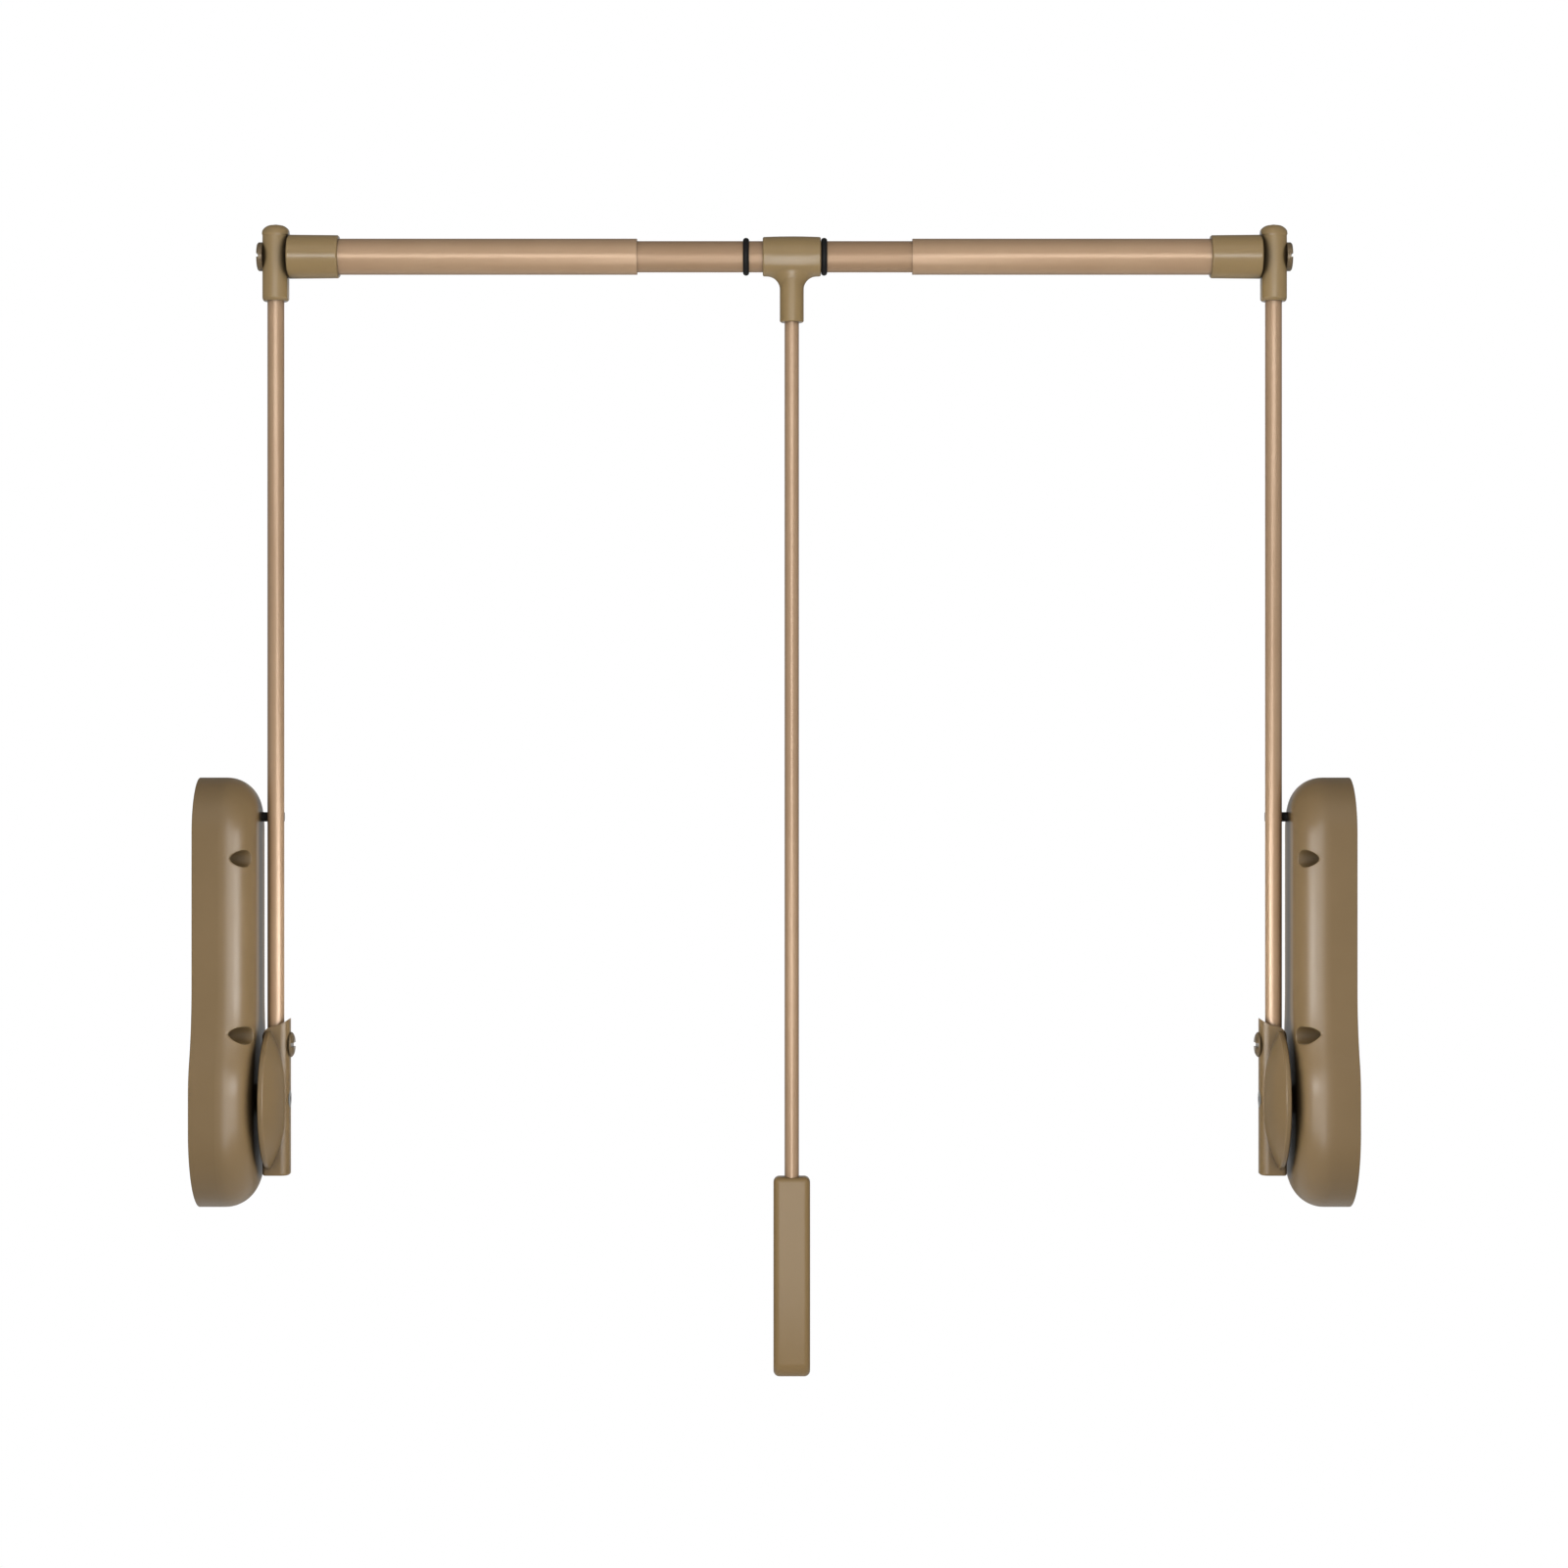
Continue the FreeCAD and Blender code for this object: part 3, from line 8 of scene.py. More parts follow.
import bpy
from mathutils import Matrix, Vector

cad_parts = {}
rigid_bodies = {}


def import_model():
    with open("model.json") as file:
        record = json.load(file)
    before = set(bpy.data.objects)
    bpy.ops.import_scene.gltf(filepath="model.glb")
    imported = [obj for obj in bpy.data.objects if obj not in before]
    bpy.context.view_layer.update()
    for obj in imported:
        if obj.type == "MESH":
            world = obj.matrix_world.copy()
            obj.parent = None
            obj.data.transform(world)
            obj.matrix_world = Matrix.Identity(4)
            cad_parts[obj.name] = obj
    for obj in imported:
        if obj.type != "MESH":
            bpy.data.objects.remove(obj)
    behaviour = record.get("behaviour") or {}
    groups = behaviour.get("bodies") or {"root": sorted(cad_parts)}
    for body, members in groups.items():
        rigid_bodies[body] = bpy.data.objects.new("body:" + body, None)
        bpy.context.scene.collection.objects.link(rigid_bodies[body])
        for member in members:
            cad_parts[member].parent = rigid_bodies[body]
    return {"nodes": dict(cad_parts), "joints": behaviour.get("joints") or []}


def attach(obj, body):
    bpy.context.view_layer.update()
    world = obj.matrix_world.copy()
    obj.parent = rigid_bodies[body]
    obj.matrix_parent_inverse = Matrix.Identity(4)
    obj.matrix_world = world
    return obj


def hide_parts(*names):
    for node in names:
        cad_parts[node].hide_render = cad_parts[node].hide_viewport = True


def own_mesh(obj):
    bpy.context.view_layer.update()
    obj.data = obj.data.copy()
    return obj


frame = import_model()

log = logging.getLogger("pull_down_rail")

MM = 0.001

# The sRGB curve: straight below the knee, and a power above it.
SRGB_KNEE, SRGB_SLOPE, SRGB_LIFT, SRGB_POWER = 0.04045, 12.92, 0.055, 2.4

# The Mix node's colour sockets share their names with its number sockets, so they go by number.
TINT_A, TINT_B, TINT_OUT = 6, 7, 2

# Detail and roughness of each noise.
GRAIN_DETAIL, GRAIN_HARSHNESS = 3.0, 0.6
WAVE_DETAIL = 1.0
BLOTCH_DETAIL, BLOTCH_HARSHNESS = 3.0, 0.55

# A noise stays near the middle of its range, so each pattern is spread out between two levels.
BLOTCH_LOW, BLOTCH_HIGH = 0.35, 0.65
GLOSS_LOW, GLOSS_HIGH = 0.3, 0.7
# Patches along an edge where it is lightened by rubbing and a painted highlight, and the least
# share between them.
EDGE_PATCH_LOW, EDGE_PATCH_HIGH = 0.38, 0.6
EDGE_PATCH_LEAST = 0.15

# Cosines of the turn between the flat and the rounded normal: from the first an edge starts to
# lighten, partly as rubbed paint and partly as a painted highlight, and from the second it is
# lightened to the full.
EDGE_STARTS, EDGE_FULL = 0.985, 0.80

# Painted shade for nooks: its dark colour, how far it looks for a wall, and the share of open air
# over a place: below the first share the painted shade is as dark as it gets, and above the second
# there is none.
PAINTED_SHADE_COLOUR = "#1D170F"
PAINTED_SHADE_REACH = 12 * MM
NOOK, OPEN_AIR = 0.6, 0.92

# Rays with which the shader looks for edges and nooks.
CORNER_SAMPLES = 6

# Reach of red, green and blue light under a surface, before the shader's own scale.
SUBSURFACE_RADIUS = (2 * MM, 1.5 * MM, MM)

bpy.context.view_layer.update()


class Run(Enum):
    """Direction in which a drawn or rolled surface has its fine lines."""

    ACROSS = (1, 0, 0)
    UPRIGHT = (0, 0, 1)


class Side(Enum):
    """Side wall that a unit hangs on, by the word that its pieces' names begin with."""

    LEFT = "left"
    RIGHT = "right"


# ------------------------------------------------------------------ helpers


def linear(code: str) -> tuple[float, float, float, float]:
    """Turn an sRGB hex code into a linear colour.

    Args:
        code: A hash and six hex digits.

    Returns:
        Red, green, blue and a full alpha, as Blender's sockets take them.
    """
    shares = [int(code[start:start + 2], 16) / 255 for start in (1, 3, 5)]
    red, green, blue = (
        share / SRGB_SLOPE if share <= SRGB_KNEE
        else ((share + SRGB_LIFT) / (1 + SRGB_LIFT)) ** SRGB_POWER
        for share in shares
    )
    return (red, green, blue, 1.0)


def empty_tree(owner: bpy.types.Material | bpy.types.World) -> bpy.types.NodeTree:
    """Switch a material or a world to nodes, and clear the nodes that it starts with.

    Args:
        owner: Material or world.

    Returns:
        Its empty node tree.
    """
    owner.use_nodes = True
    owner.node_tree.nodes.clear()
    return owner.node_tree


def add(tree: bpy.types.NodeTree, kind: str, settings: dict[str | int, Any] | None = None,
        links: dict[str | int, bpy.types.NodeSocket] | None = None) -> bpy.types.Node:
    """Add one node with its settings and its incoming links.

    Args:
        tree: Node tree that takes the node.
        kind: Blender's name of the node type.
        settings: Field names of the node, or names or numbers of its inputs, with their values.
        links: Names or numbers of inputs, with the output sockets that feed them.

    Returns:
        The new node.
    """
    node = tree.nodes.new(kind)
    for key, value in (settings or {}).items():
        if isinstance(key, str) and hasattr(node, key):
            setattr(node, key, value)
        else:
            node.inputs[key].default_value = value
    for key, source in (links or {}).items():
        tree.links.new(source, node.inputs[key])
    return node


def put_in_scene(name: str, data: bpy.types.ID) -> bpy.types.Object:
    """Make an object and put it in the scene.

    Args:
        name: Name of the object.
        data: Mesh, lamp or camera that it carries.

    Returns:
        The new object, at the origin.
    """
    thing = bpy.data.objects.new(name, data)
    bpy.context.scene.collection.objects.link(thing)
    return thing


# ------------------------------------------------------------------ finishes


@dataclass(frozen=True)
class Finish:
    """A finish: its colours, its gloss, its fine surface detail, its edges lightened by rubbing
    and a painted highlight, and its painted shade in nooks.

    The surface has one fine pattern and one slow one, each given by its real size.

    Attributes:
        name: Name of the material.
        colour: Main colour, as an sRGB hex code, as are all colours here.
        second: Colour that the main one drifts towards.
        roughness: Middle of the shader's roughness.
        metallic: Share of bare metal.
        coat: Strength of the clear coat.
        coat_roughness: Roughness of the clear coat.
        ior: Index of refraction, which a bare metal leaves at the shader's own value.
        grain_mm: Spacing of the fine pattern.
        grain_height_mm: Height of the fine pattern.
        wave_mm: Spacing of the slow pattern.
        wave_height_mm: Height of the slow pattern.
        rough_swing: How far the roughness strays to either side.
        blotch_mm: Size of the drifts in colour.
        blotch: How far a drift goes towards the second colour.
        run: Direction of fine lines, for a surface that has them.
        stretch: How many times longer than wide the lines are.
        edge_mm: Radius to which the shader rounds an edge.
        softened: Whether the rounded edges show, or only tell where the edges are lightened.
        rubbed_and_highlight_colour: Colour of an edge lightened partly by rubbing and partly by a
            painted highlight.
        rub_and_highlight: Strength of the lightened edges, from rubbing and a painted highlight.
        painted_shade: Strength of the painted shade in nooks.
        subsurface: Share of the light that goes under the surface.
    """

    name: str
    colour: str
    second: str
    roughness: float
    metallic: float = 0.0
    coat: float = 0.0
    coat_roughness: float = 0.2
    ior: float = 1.5
    grain_mm: float = 0.8
    grain_height_mm: float = 0.004
    wave_mm: float = 18.0
    wave_height_mm: float = 0.03
    rough_swing: float = 0.06
    blotch_mm: float = 45.0
    blotch: float = 0.5
    run: Run | None = None
    stretch: float = 200.0
    edge_mm: float = 0.5
    softened: bool = True
    rubbed_and_highlight_colour: str = "#C9BCA6"
    rub_and_highlight: float = 0.3
    painted_shade: float = 0.25
    subsurface: float = 0.0

    def build(self) -> bpy.types.Material:
        """Make the Blender material.

        Returns:
            A procedural material with colour, roughness and bump detail; its colour carries edges
            lightened by rubbing and a painted highlight, and painted shade in nooks.
        """
        material = bpy.data.materials.new(self.name)
        tree = empty_tree(material)
        where = add(tree, "ShaderNodeTexCoord").outputs["Object"]
        lines = add(tree, "ShaderNodeMapping", {"Scale": self.line_scale()},
                    {"Vector": where}).outputs[0]
        grain = add(tree, "ShaderNodeTexNoise",
                    {"Scale": 1 / (self.grain_mm * MM), "Detail": GRAIN_DETAIL,
                     "Roughness": GRAIN_HARSHNESS}, {"Vector": lines}).outputs[0]
        wave = add(tree, "ShaderNodeTexNoise",
                   {"Scale": 1 / (self.wave_mm * MM), "Detail": WAVE_DETAIL},
                   {"Vector": where}).outputs[0]
        blotch = add(tree, "ShaderNodeTexNoise",
                     {"Scale": 1 / (self.blotch_mm * MM), "Detail": BLOTCH_DETAIL,
                      "Roughness": BLOTCH_HARSHNESS}, {"Vector": where}).outputs[0]
        rounded = add(tree, "ShaderNodeBevel",
                      {"samples": CORNER_SAMPLES, "Radius": self.edge_mm * MM}).outputs[0]
        tint = self.clean_tint(tree, blotch)
        # The edges are lightened by rubbing and a painted highlight, and the nooks are darkened
        # with painted shade.
        tint = self.rub_and_highlight_tint(tree, tint, rounded, grain, wave)
        tint = self.painted_shade_tint(tree, tint)
        settings = {
            "Metallic": self.metallic,
            "Coat Weight": self.coat,
            "Coat Roughness": self.coat_roughness,
            "Subsurface Weight": self.subsurface,
            "Subsurface Radius": SUBSURFACE_RADIUS,
        }
        if self.metallic < 1.0:
            settings["IOR"] = self.ior
        surface = add(tree, "ShaderNodeBsdfPrincipled", settings,
                      {"Base Color": tint, "Roughness": self.uneven_gloss(tree, grain, blotch),
                       "Normal": self.relief(tree, rounded, grain, wave)})
        add(tree, "ShaderNodeOutputMaterial", None, {"Surface": surface.outputs[0]})
        return material

    def line_scale(self) -> tuple[float, ...]:
        """Draw the grain out along the run of the lines, where there is one.

        Returns:
            Scale of the fine pattern along each axis.
        """
        if self.run is None:
            return (1.0, 1.0, 1.0)
        return tuple(1 / self.stretch if along else 1.0 for along in self.run.value)

    def clean_tint(self, tree: bpy.types.NodeTree,
                   blotch: bpy.types.NodeSocket) -> bpy.types.NodeSocket:
        """Vary the colour slowly over the surface, as spray and plating do.

        Args:
            tree: Node tree that takes the nodes.
            blotch: Slow pattern that the colour follows.

        Returns:
            The colour of the clean surface.
        """
        share = add(tree, "ShaderNodeMapRange",
                    {"From Min": BLOTCH_LOW, "From Max": BLOTCH_HIGH, "To Max": self.blotch},
                    {"Value": blotch}).outputs[0]
        return add(tree, "ShaderNodeMix",
                   {"data_type": "RGBA", TINT_A: linear(self.colour), TINT_B: linear(self.second)},
                   {"Factor": share}).outputs[TINT_OUT]

    def rub_and_highlight_tint(self, tree: bpy.types.NodeTree, tint: bpy.types.NodeSocket,
                  rounded: bpy.types.NodeSocket, grain: bpy.types.NodeSocket,
                  wave: bpy.types.NodeSocket) -> bpy.types.NodeSocket:
        """Lighten the surface along its sharp edges, in patches, as rubbed paint and as a painted
        highlight.

        Args:
            tree: Node tree that takes the nodes.
            tint: Colour before the lightened edges.
            rounded: Normal of the surface with its edges rounded off.
            grain: Fine pattern that breaks the lightened line up.
            wave: Slow pattern that leaves stretches of an edge whole.

        Returns:
            The colour with the lightened edges.
        """
        # Lightened edges: partly rubbed paint, partly a painted highlight along the rounded edges.
        flat = add(tree, "ShaderNodeNewGeometry").outputs["Normal"]
        same = add(tree, "ShaderNodeVectorMath", {"operation": "DOT_PRODUCT"},
                   {0: rounded, 1: flat}).outputs["Value"]
        edge = add(tree, "ShaderNodeMapRange",
                   {"From Min": EDGE_STARTS, "From Max": EDGE_FULL, "To Max": self.rub_and_highlight},
                   {"Value": same}).outputs[0]
        both = add(tree, "ShaderNodeMix", None, {"A": grain, "B": wave}).outputs[0]
        patch = add(tree, "ShaderNodeMapRange",
                    {"From Min": EDGE_PATCH_LOW, "From Max": EDGE_PATCH_HIGH, "To Min": EDGE_PATCH_LEAST},
                    {"Value": both}).outputs[0]
        share = add(tree, "ShaderNodeMath", {"operation": "MULTIPLY"},
                    {0: edge, 1: patch}).outputs[0]
        return add(tree, "ShaderNodeMix", {"data_type": "RGBA", TINT_B: linear(self.rubbed_and_highlight_colour)},
                   {"Factor": share, TINT_A: tint}).outputs[TINT_OUT]

    def painted_shade_tint(self, tree: bpy.types.NodeTree,
                   tint: bpy.types.NodeSocket) -> bpy.types.NodeSocket:
        """Darken the nooks and the depths of the screw wells.

        Args:
            tree: Node tree that takes the nodes.
            tint: Colour before the painted shade.

        Returns:
            The colour with the painted shade.
        """
        # Painted shade: ambient occlusion pulls the colour towards near-black brown in closed-in
        # places.
        air = add(tree, "ShaderNodeAmbientOcclusion",
                  {"samples": CORNER_SAMPLES, "Distance": PAINTED_SHADE_REACH}).outputs["AO"]
        share = add(tree, "ShaderNodeMapRange",
                    {"From Min": NOOK, "From Max": OPEN_AIR, "To Min": self.painted_shade, "To Max": 0.0},
                    {"Value": air}).outputs[0]
        return add(tree, "ShaderNodeMix", {"data_type": "RGBA", TINT_B: linear(PAINTED_SHADE_COLOUR)},
                   {"Factor": share, TINT_A: tint}).outputs[TINT_OUT]

    def uneven_gloss(self, tree: bpy.types.NodeTree, grain: bpy.types.NodeSocket,
                     blotch: bpy.types.NodeSocket) -> bpy.types.NodeSocket:
        """Let the gloss stray a little over the surface.

        Args:
            tree: Node tree that takes the nodes.
            grain: Fine pattern that the gloss follows.
            blotch: Slow pattern that the gloss follows as much.

        Returns:
            The roughness.
        """
        both = add(tree, "ShaderNodeMix", None, {"A": grain, "B": blotch}).outputs[0]
        return add(tree, "ShaderNodeMapRange",
                   {"From Min": GLOSS_LOW, "From Max": GLOSS_HIGH,
                    "To Min": self.roughness - self.rough_swing,
                    "To Max": self.roughness + self.rough_swing}, {"Value": both}).outputs[0]

    def relief(self, tree: bpy.types.NodeTree, rounded: bpy.types.NodeSocket,
               grain: bpy.types.NodeSocket, wave: bpy.types.NodeSocket) -> bpy.types.NodeSocket:
        """Lay the slow pattern and the fine one over the shape.

        Args:
            tree: Node tree that takes the nodes.
            rounded: Normal of the surface with its edges rounded off.
            grain: Fine pattern.
            wave: Slow pattern.

        Returns:
            The normal with both patterns.
        """
        start = {"Normal": rounded} if self.softened else {}
        slow = add(tree, "ShaderNodeBump",
                   {"Strength": 1.0, "Distance": self.wave_height_mm * MM},
                   {"Height": wave, **start}).outputs[0]
        return add(tree, "ShaderNodeBump",
                   {"Strength": 1.0, "Distance": self.grain_height_mm * MM},
                   {"Height": grain, "Normal": slow}).outputs[0]


# Moulded ABS with a satin bronze spray coat: flat olive brown with a soft, wide highlight, and
# edges that the mould rounds by a millimetre or so.
# Its strong lightened edges are partly rubbed paint and partly a painted highlight, and its strong
# darkening in nooks and screw wells is painted shade.
MOULDING = Finish(
    "sprayed_abs_bronze", colour="#76603F", second="#7C6544", roughness=0.39, rough_swing=0.03,
    coat=0.1, coat_roughness=0.3, grain_mm=1.2, grain_height_mm=0.004, wave_mm=22,
    wave_height_mm=0.03, blotch_mm=60, edge_mm=1.4, rubbed_and_highlight_colour="#A8916C", rub_and_highlight=0.5, painted_shade=0.9)

# The swinging holder has the same coat over a crisper moulding, with weaker lightened edges, from
# rubbing and painted highlight, at its rim, and weaker painted shade in its nooks.
HOLDER = replace(MOULDING, name="sprayed_holder_bronze", edge_mm=0.6, rub_and_highlight=0.25, painted_shade=0.5)

# The handle has the same coat, kept paler by the hands that pull it.
GRIP = replace(
    MOULDING, name="sprayed_grip_bronze", colour="#856C45", second="#8B724A", ior=1.42, coat=0.06)

# Moulded glass-filled nylon joints in the same coat with a tighter skin. Their colour is paler
# than the housing's, partly as a painted highlight that brightens the arm heads, and their strong
# lightened edges are partly rubbed paint and partly a painted highlight, as on the ends of the
# tee.
CONNECTOR = replace(
    MOULDING, name="sprayed_nylon_bronze", colour="#8D754C", second="#937B52", roughness=0.33,
    coat=0.25, coat_roughness=0.15, edge_mm=0.9, rubbed_and_highlight_colour="#BFA983", rub_and_highlight=0.75)

# Drawn steel tube with champagne metallic paint: pale brown with a soft gleam and faint lines
# along the tube. The lines are some 0.3 mm apart on the real one, and are drawn coarser to show.
TUBE_ACROSS = Finish(
    "champagne_paint_across", colour="#AC8C6C", second="#B39474", roughness=0.37,
    rough_swing=0.02, metallic=0.25, coat=0.4, coat_roughness=0.3, grain_mm=1.6,
    grain_height_mm=0.0004, wave_height_mm=0.008, run=Run.ACROSS, edge_mm=0.4, softened=False,
    rubbed_and_highlight_colour="#CDBDA4")
TUBE_UPRIGHT = replace(TUBE_ACROSS, name="champagne_paint_upright", run=Run.UPRIGHT, coat=0.55)

# The inner tube slides in the liners and has a rougher coat; its darker colour is painted shade
# that holds down the bright middle of the rail.
TUBE_SLIDING = replace(
    TUBE_ACROSS, name="champagne_paint_sliding", colour="#A18263", second="#A6886A",
    roughness=0.44, coat=0.15)

# Moulded rubber: deep black, hardly any shine, a fine pitted skin.
RUBBER = Finish(
    "moulded_rubber", colour="#0B0A0A", second="#100F0E", roughness=0.6, ior=1.35, grain_mm=0.9,
    grain_height_mm=0.01, wave_mm=9, wave_height_mm=0.02, rubbed_and_highlight_colour="#33302C", rub_and_highlight=0.4)

# Turned steel bolt, lacquered dark bronze, rubbed bright on its edges.
BRONZE_BOLT = Finish(
    "lacquered_bolt", colour="#6A583E", second="#776549", roughness=0.36, metallic=0.3, coat=0.3,
    grain_mm=0.8, grain_height_mm=0.004, wave_mm=6, wave_height_mm=0.01, blotch_mm=8,
    rubbed_and_highlight_colour="#B9A585", rub_and_highlight=0.5)

# Rolled steel sheet with bright zinc plate: pale grey with a slow cloudiness and rolling lines.
ZINC = Finish(
    "zinc_plated_sheet", colour="#B4B5B2", second="#C6C6C0", roughness=0.38, rough_swing=0.08,
    metallic=1.0, grain_mm=0.9, grain_height_mm=0.002, wave_mm=30, wave_height_mm=0.02,
    blotch_mm=14, run=Run.UPRIGHT, rubbed_and_highlight_colour="#DCDCD8", rub_and_highlight=0.5)

# Turned and hobbed steel under a film of oil: grey, with a clear gleam over cutter marks that
# are drawn coarser than the real ones to show.
MACHINED = Finish(
    "oiled_machined_steel", colour="#9A9B9D", second="#838487", roughness=0.28, metallic=1.0,
    grain_mm=0.5, grain_height_mm=0.003, wave_mm=10, wave_height_mm=0.01, blotch_mm=9,
    rubbed_and_highlight_colour="#C8C8C8", rub_and_highlight=0.5)

# Oil-hardened spring wire: blue-black with a dull shine along the wire.
SPRING = Finish(
    "oil_hardened_wire", colour="#3C3D42", second="#4A4A4E", roughness=0.4, metallic=1.0,
    grain_mm=0.5, grain_height_mm=0.004, wave_mm=5, wave_height_mm=0.01, blotch_mm=6,
    rubbed_and_highlight_colour="#77787C", rub_and_highlight=0.4)

# Ground and hard-chromed damper parts: a clean mirror with a faint grain of the grinding, drawn
# coarser than the real one to show.
CHROME = Finish(
    "hard_chromed_steel", colour="#C9CACC", second="#BDBEC1", roughness=0.14, rough_swing=0.04,
    metallic=1.0, grain_mm=0.4, grain_height_mm=0.0008, wave_mm=12, wave_height_mm=0.005,
    blotch_mm=20, rubbed_and_highlight_colour="#E2E2E2", rub_and_highlight=0.3)

# Moulded natural nylon: milky off-white that lets a little light in.
NYLON = Finish(
    "natural_nylon", colour="#D9D3C4", second="#E1DCCF", roughness=0.45, ior=1.53, grain_mm=0.8,
    grain_height_mm=0.004, wave_mm=8, wave_height_mm=0.02, subsurface=0.15, rubbed_and_highlight_colour="#EDE9DF",
    rub_and_highlight=0.4)


# ------------------------------------------------------------------ sub-assemblies


@dataclass
class Assembly:
    """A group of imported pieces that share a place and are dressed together.

    Attributes:
        name: Name of the group in the log.
        finishes: Finish of each piece, by its key.
    """

    name: str
    finishes: dict[str, Finish]

    def node_name(self, key: str) -> str:
        """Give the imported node's name for a key."""
        return key

    def dress(self, materials: dict[str, bpy.types.Material]) -> None:
        """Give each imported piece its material.

        Args:
            materials: Materials made so far, by the finish's name; new ones are added.
        """
        for key, finish in self.finishes.items():
            if finish.name not in materials:
                materials[finish.name] = finish.build()
            piece = frame["nodes"][self.node_name(key)]
            piece.data.materials.clear()
            piece.data.materials.append(materials[finish.name])
            log.info("%s: %s in %s", self.name, piece.name, finish.name)

    def build(self, materials: dict[str, bpy.types.Material]) -> None:
        """Finish the group, which here only takes its materials."""
        self.dress(materials)


@dataclass
class SideUnit(Assembly):
    """Housing, mechanism, arm and rail socket on one wall.

    Attributes:
        side: Wall that carries the unit.
        spring_top: Height of the assist spring's fixed end, in metres; not used.
    """

    side: Side
    spring_top: float = 0.085

    def node_name(self, key: str) -> str:
        """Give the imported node's name for a key on this side."""
        return f"{self.side.value}_{key}"

    def fit_spring(self) -> None:
        """Put a copy of the spring's coil, carried by the rack joint's parent body, in the place
        of the rigid spring.
        """
        node = self.node_name("assist_spring")
        travel = self.node_name("rack_travel")
        rack = next(joint for joint in frame["joints"] if joint["name"] == travel)
        coil = put_in_scene(self.node_name("working_spring"), frame["nodes"][node].data.copy())
        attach(coil, rack["parent"])
        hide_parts(node)
        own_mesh(coil)

    def build(self, materials: dict[str, bpy.types.Material]) -> None:
        """Give the pieces their materials, then fit the working spring."""
        self.dress(materials)
        self.fit_spring()


SIDE_FINISHES: dict[str, Finish] = {
    "wall_plate": ZINC, "housing_cover": MOULDING, "cover_screws": ZINC, "pivot_bushes": NYLON,
    "stop_peg": ZINC, "stop_sleeve": RUBBER, "rack_guide": NYLON, "spring_bracket": ZINC,
    "damper_cylinder": CHROME, "assist_spring": SPRING, "pivot_axle": MACHINED,
    "axle_clip": SPRING, "pinion": MACHINED, "rack": MACHINED, "damper_rod": CHROME,
    "arm_holder": HOLDER, "axle_screw": ZINC, "holder_bolt": BRONZE_BOLT, "arm_plug": MACHINED,
    "arm_tube": TUBE_UPRIGHT, "arm_head": CONNECTOR, "head_bolt": BRONZE_BOLT,
    "rail_socket": CONNECTOR, "outer_tube": TUBE_ACROSS, "tube_liner": NYLON,
}

CENTRE_FINISHES: dict[str, Finish] = {
    "inner_tube": TUBE_SLIDING, "tube_end_plugs": NYLON, "tee_connector": CONNECTOR,
    "left_stop_ring": RUBBER, "right_stop_ring": RUBBER, "pull_rod": TUBE_UPRIGHT,
    "pull_handle": GRIP, "tee_set_screw": ZINC, "handle_set_screw": ZINC,
}


# ------------------------------------------------------------------ studio


@dataclass(frozen=True)
class Lamp:
    """One rectangular soft lamp, in metres.

    Attributes:
        name: Name of the lamp.
        place: Where its middle hangs.
        aim: Point that it faces.
        size: Width and height.
        power: Power in watts.
        fan: Angle of its light in degrees, narrowed by a grid where it is under 180.
        gleams: Whether it shows in glossy surfaces.
    """

    name: str
    place: tuple[float, float, float]
    aim: tuple[float, float, float]
    size: tuple[float, float]
    power: float
    fan: float
    gleams: bool = True

    def hang(self) -> None:
        """Hang the lamp, unseen by the camera."""
        data = bpy.data.lights.new(self.name, "AREA")
        data.shape = "RECTANGLE"
        data.size, data.size_y = self.size
        data.energy = self.power
        data.spread = math.radians(self.fan)
        way = Vector(self.aim) - Vector(self.place)
        lamp = put_in_scene(self.name, data)
        lamp.location = self.place
        lamp.rotation_euler = way.to_track_quat("-Z", "Y").to_euler()
        lamp.visible_camera = False
        lamp.visible_glossy = self.gleams


# A tall strip for the rod and the arms, a crossed pair of boxes for the gleam on the housings, a
# long pair of strips for the rail, and two large screens that fill from above and from behind.
LAMPS: tuple[Lamp, ...] = (
    Lamp("tall_strip", place=(0.49, -0.85, -0.05), aim=(0.49, 0, -0.05), size=(0.24, 1.04),
         power=4.6, fan=180),
    Lamp("box_for_left", place=(0.685, -0.51, -0.03), aim=(0.03, -0.05, -0.03),
         size=(0.34, 0.20), power=0.3, fan=50),
    Lamp("box_for_right", place=(0.275, -0.51, -0.03), aim=(0.93, -0.05, -0.03),
         size=(0.34, 0.20), power=0.3, fan=50),
    Lamp("rail_strip_left", place=(0.07, -0.80, 0.55), aim=(0.07, 0, 0.576), size=(0.66, 0.15),
         power=0.38, fan=70),
    Lamp("rail_strip_right", place=(0.906, -0.80, 0.55), aim=(0.906, 0, 0.576),
         size=(0.66, 0.15), power=0.38, fan=70),
    Lamp("top_screen", place=(0.488, -1.6, 1.9), aim=(0.488, 0, 0.2), size=(2.2, 1.2),
         power=3.5, fan=180),
    Lamp("back_screen", place=(0.488, 1.9, 0.4), aim=(0.488, 0, 0.15), size=(2.2, 1.2),
         power=24, fan=180, gleams=False),
)


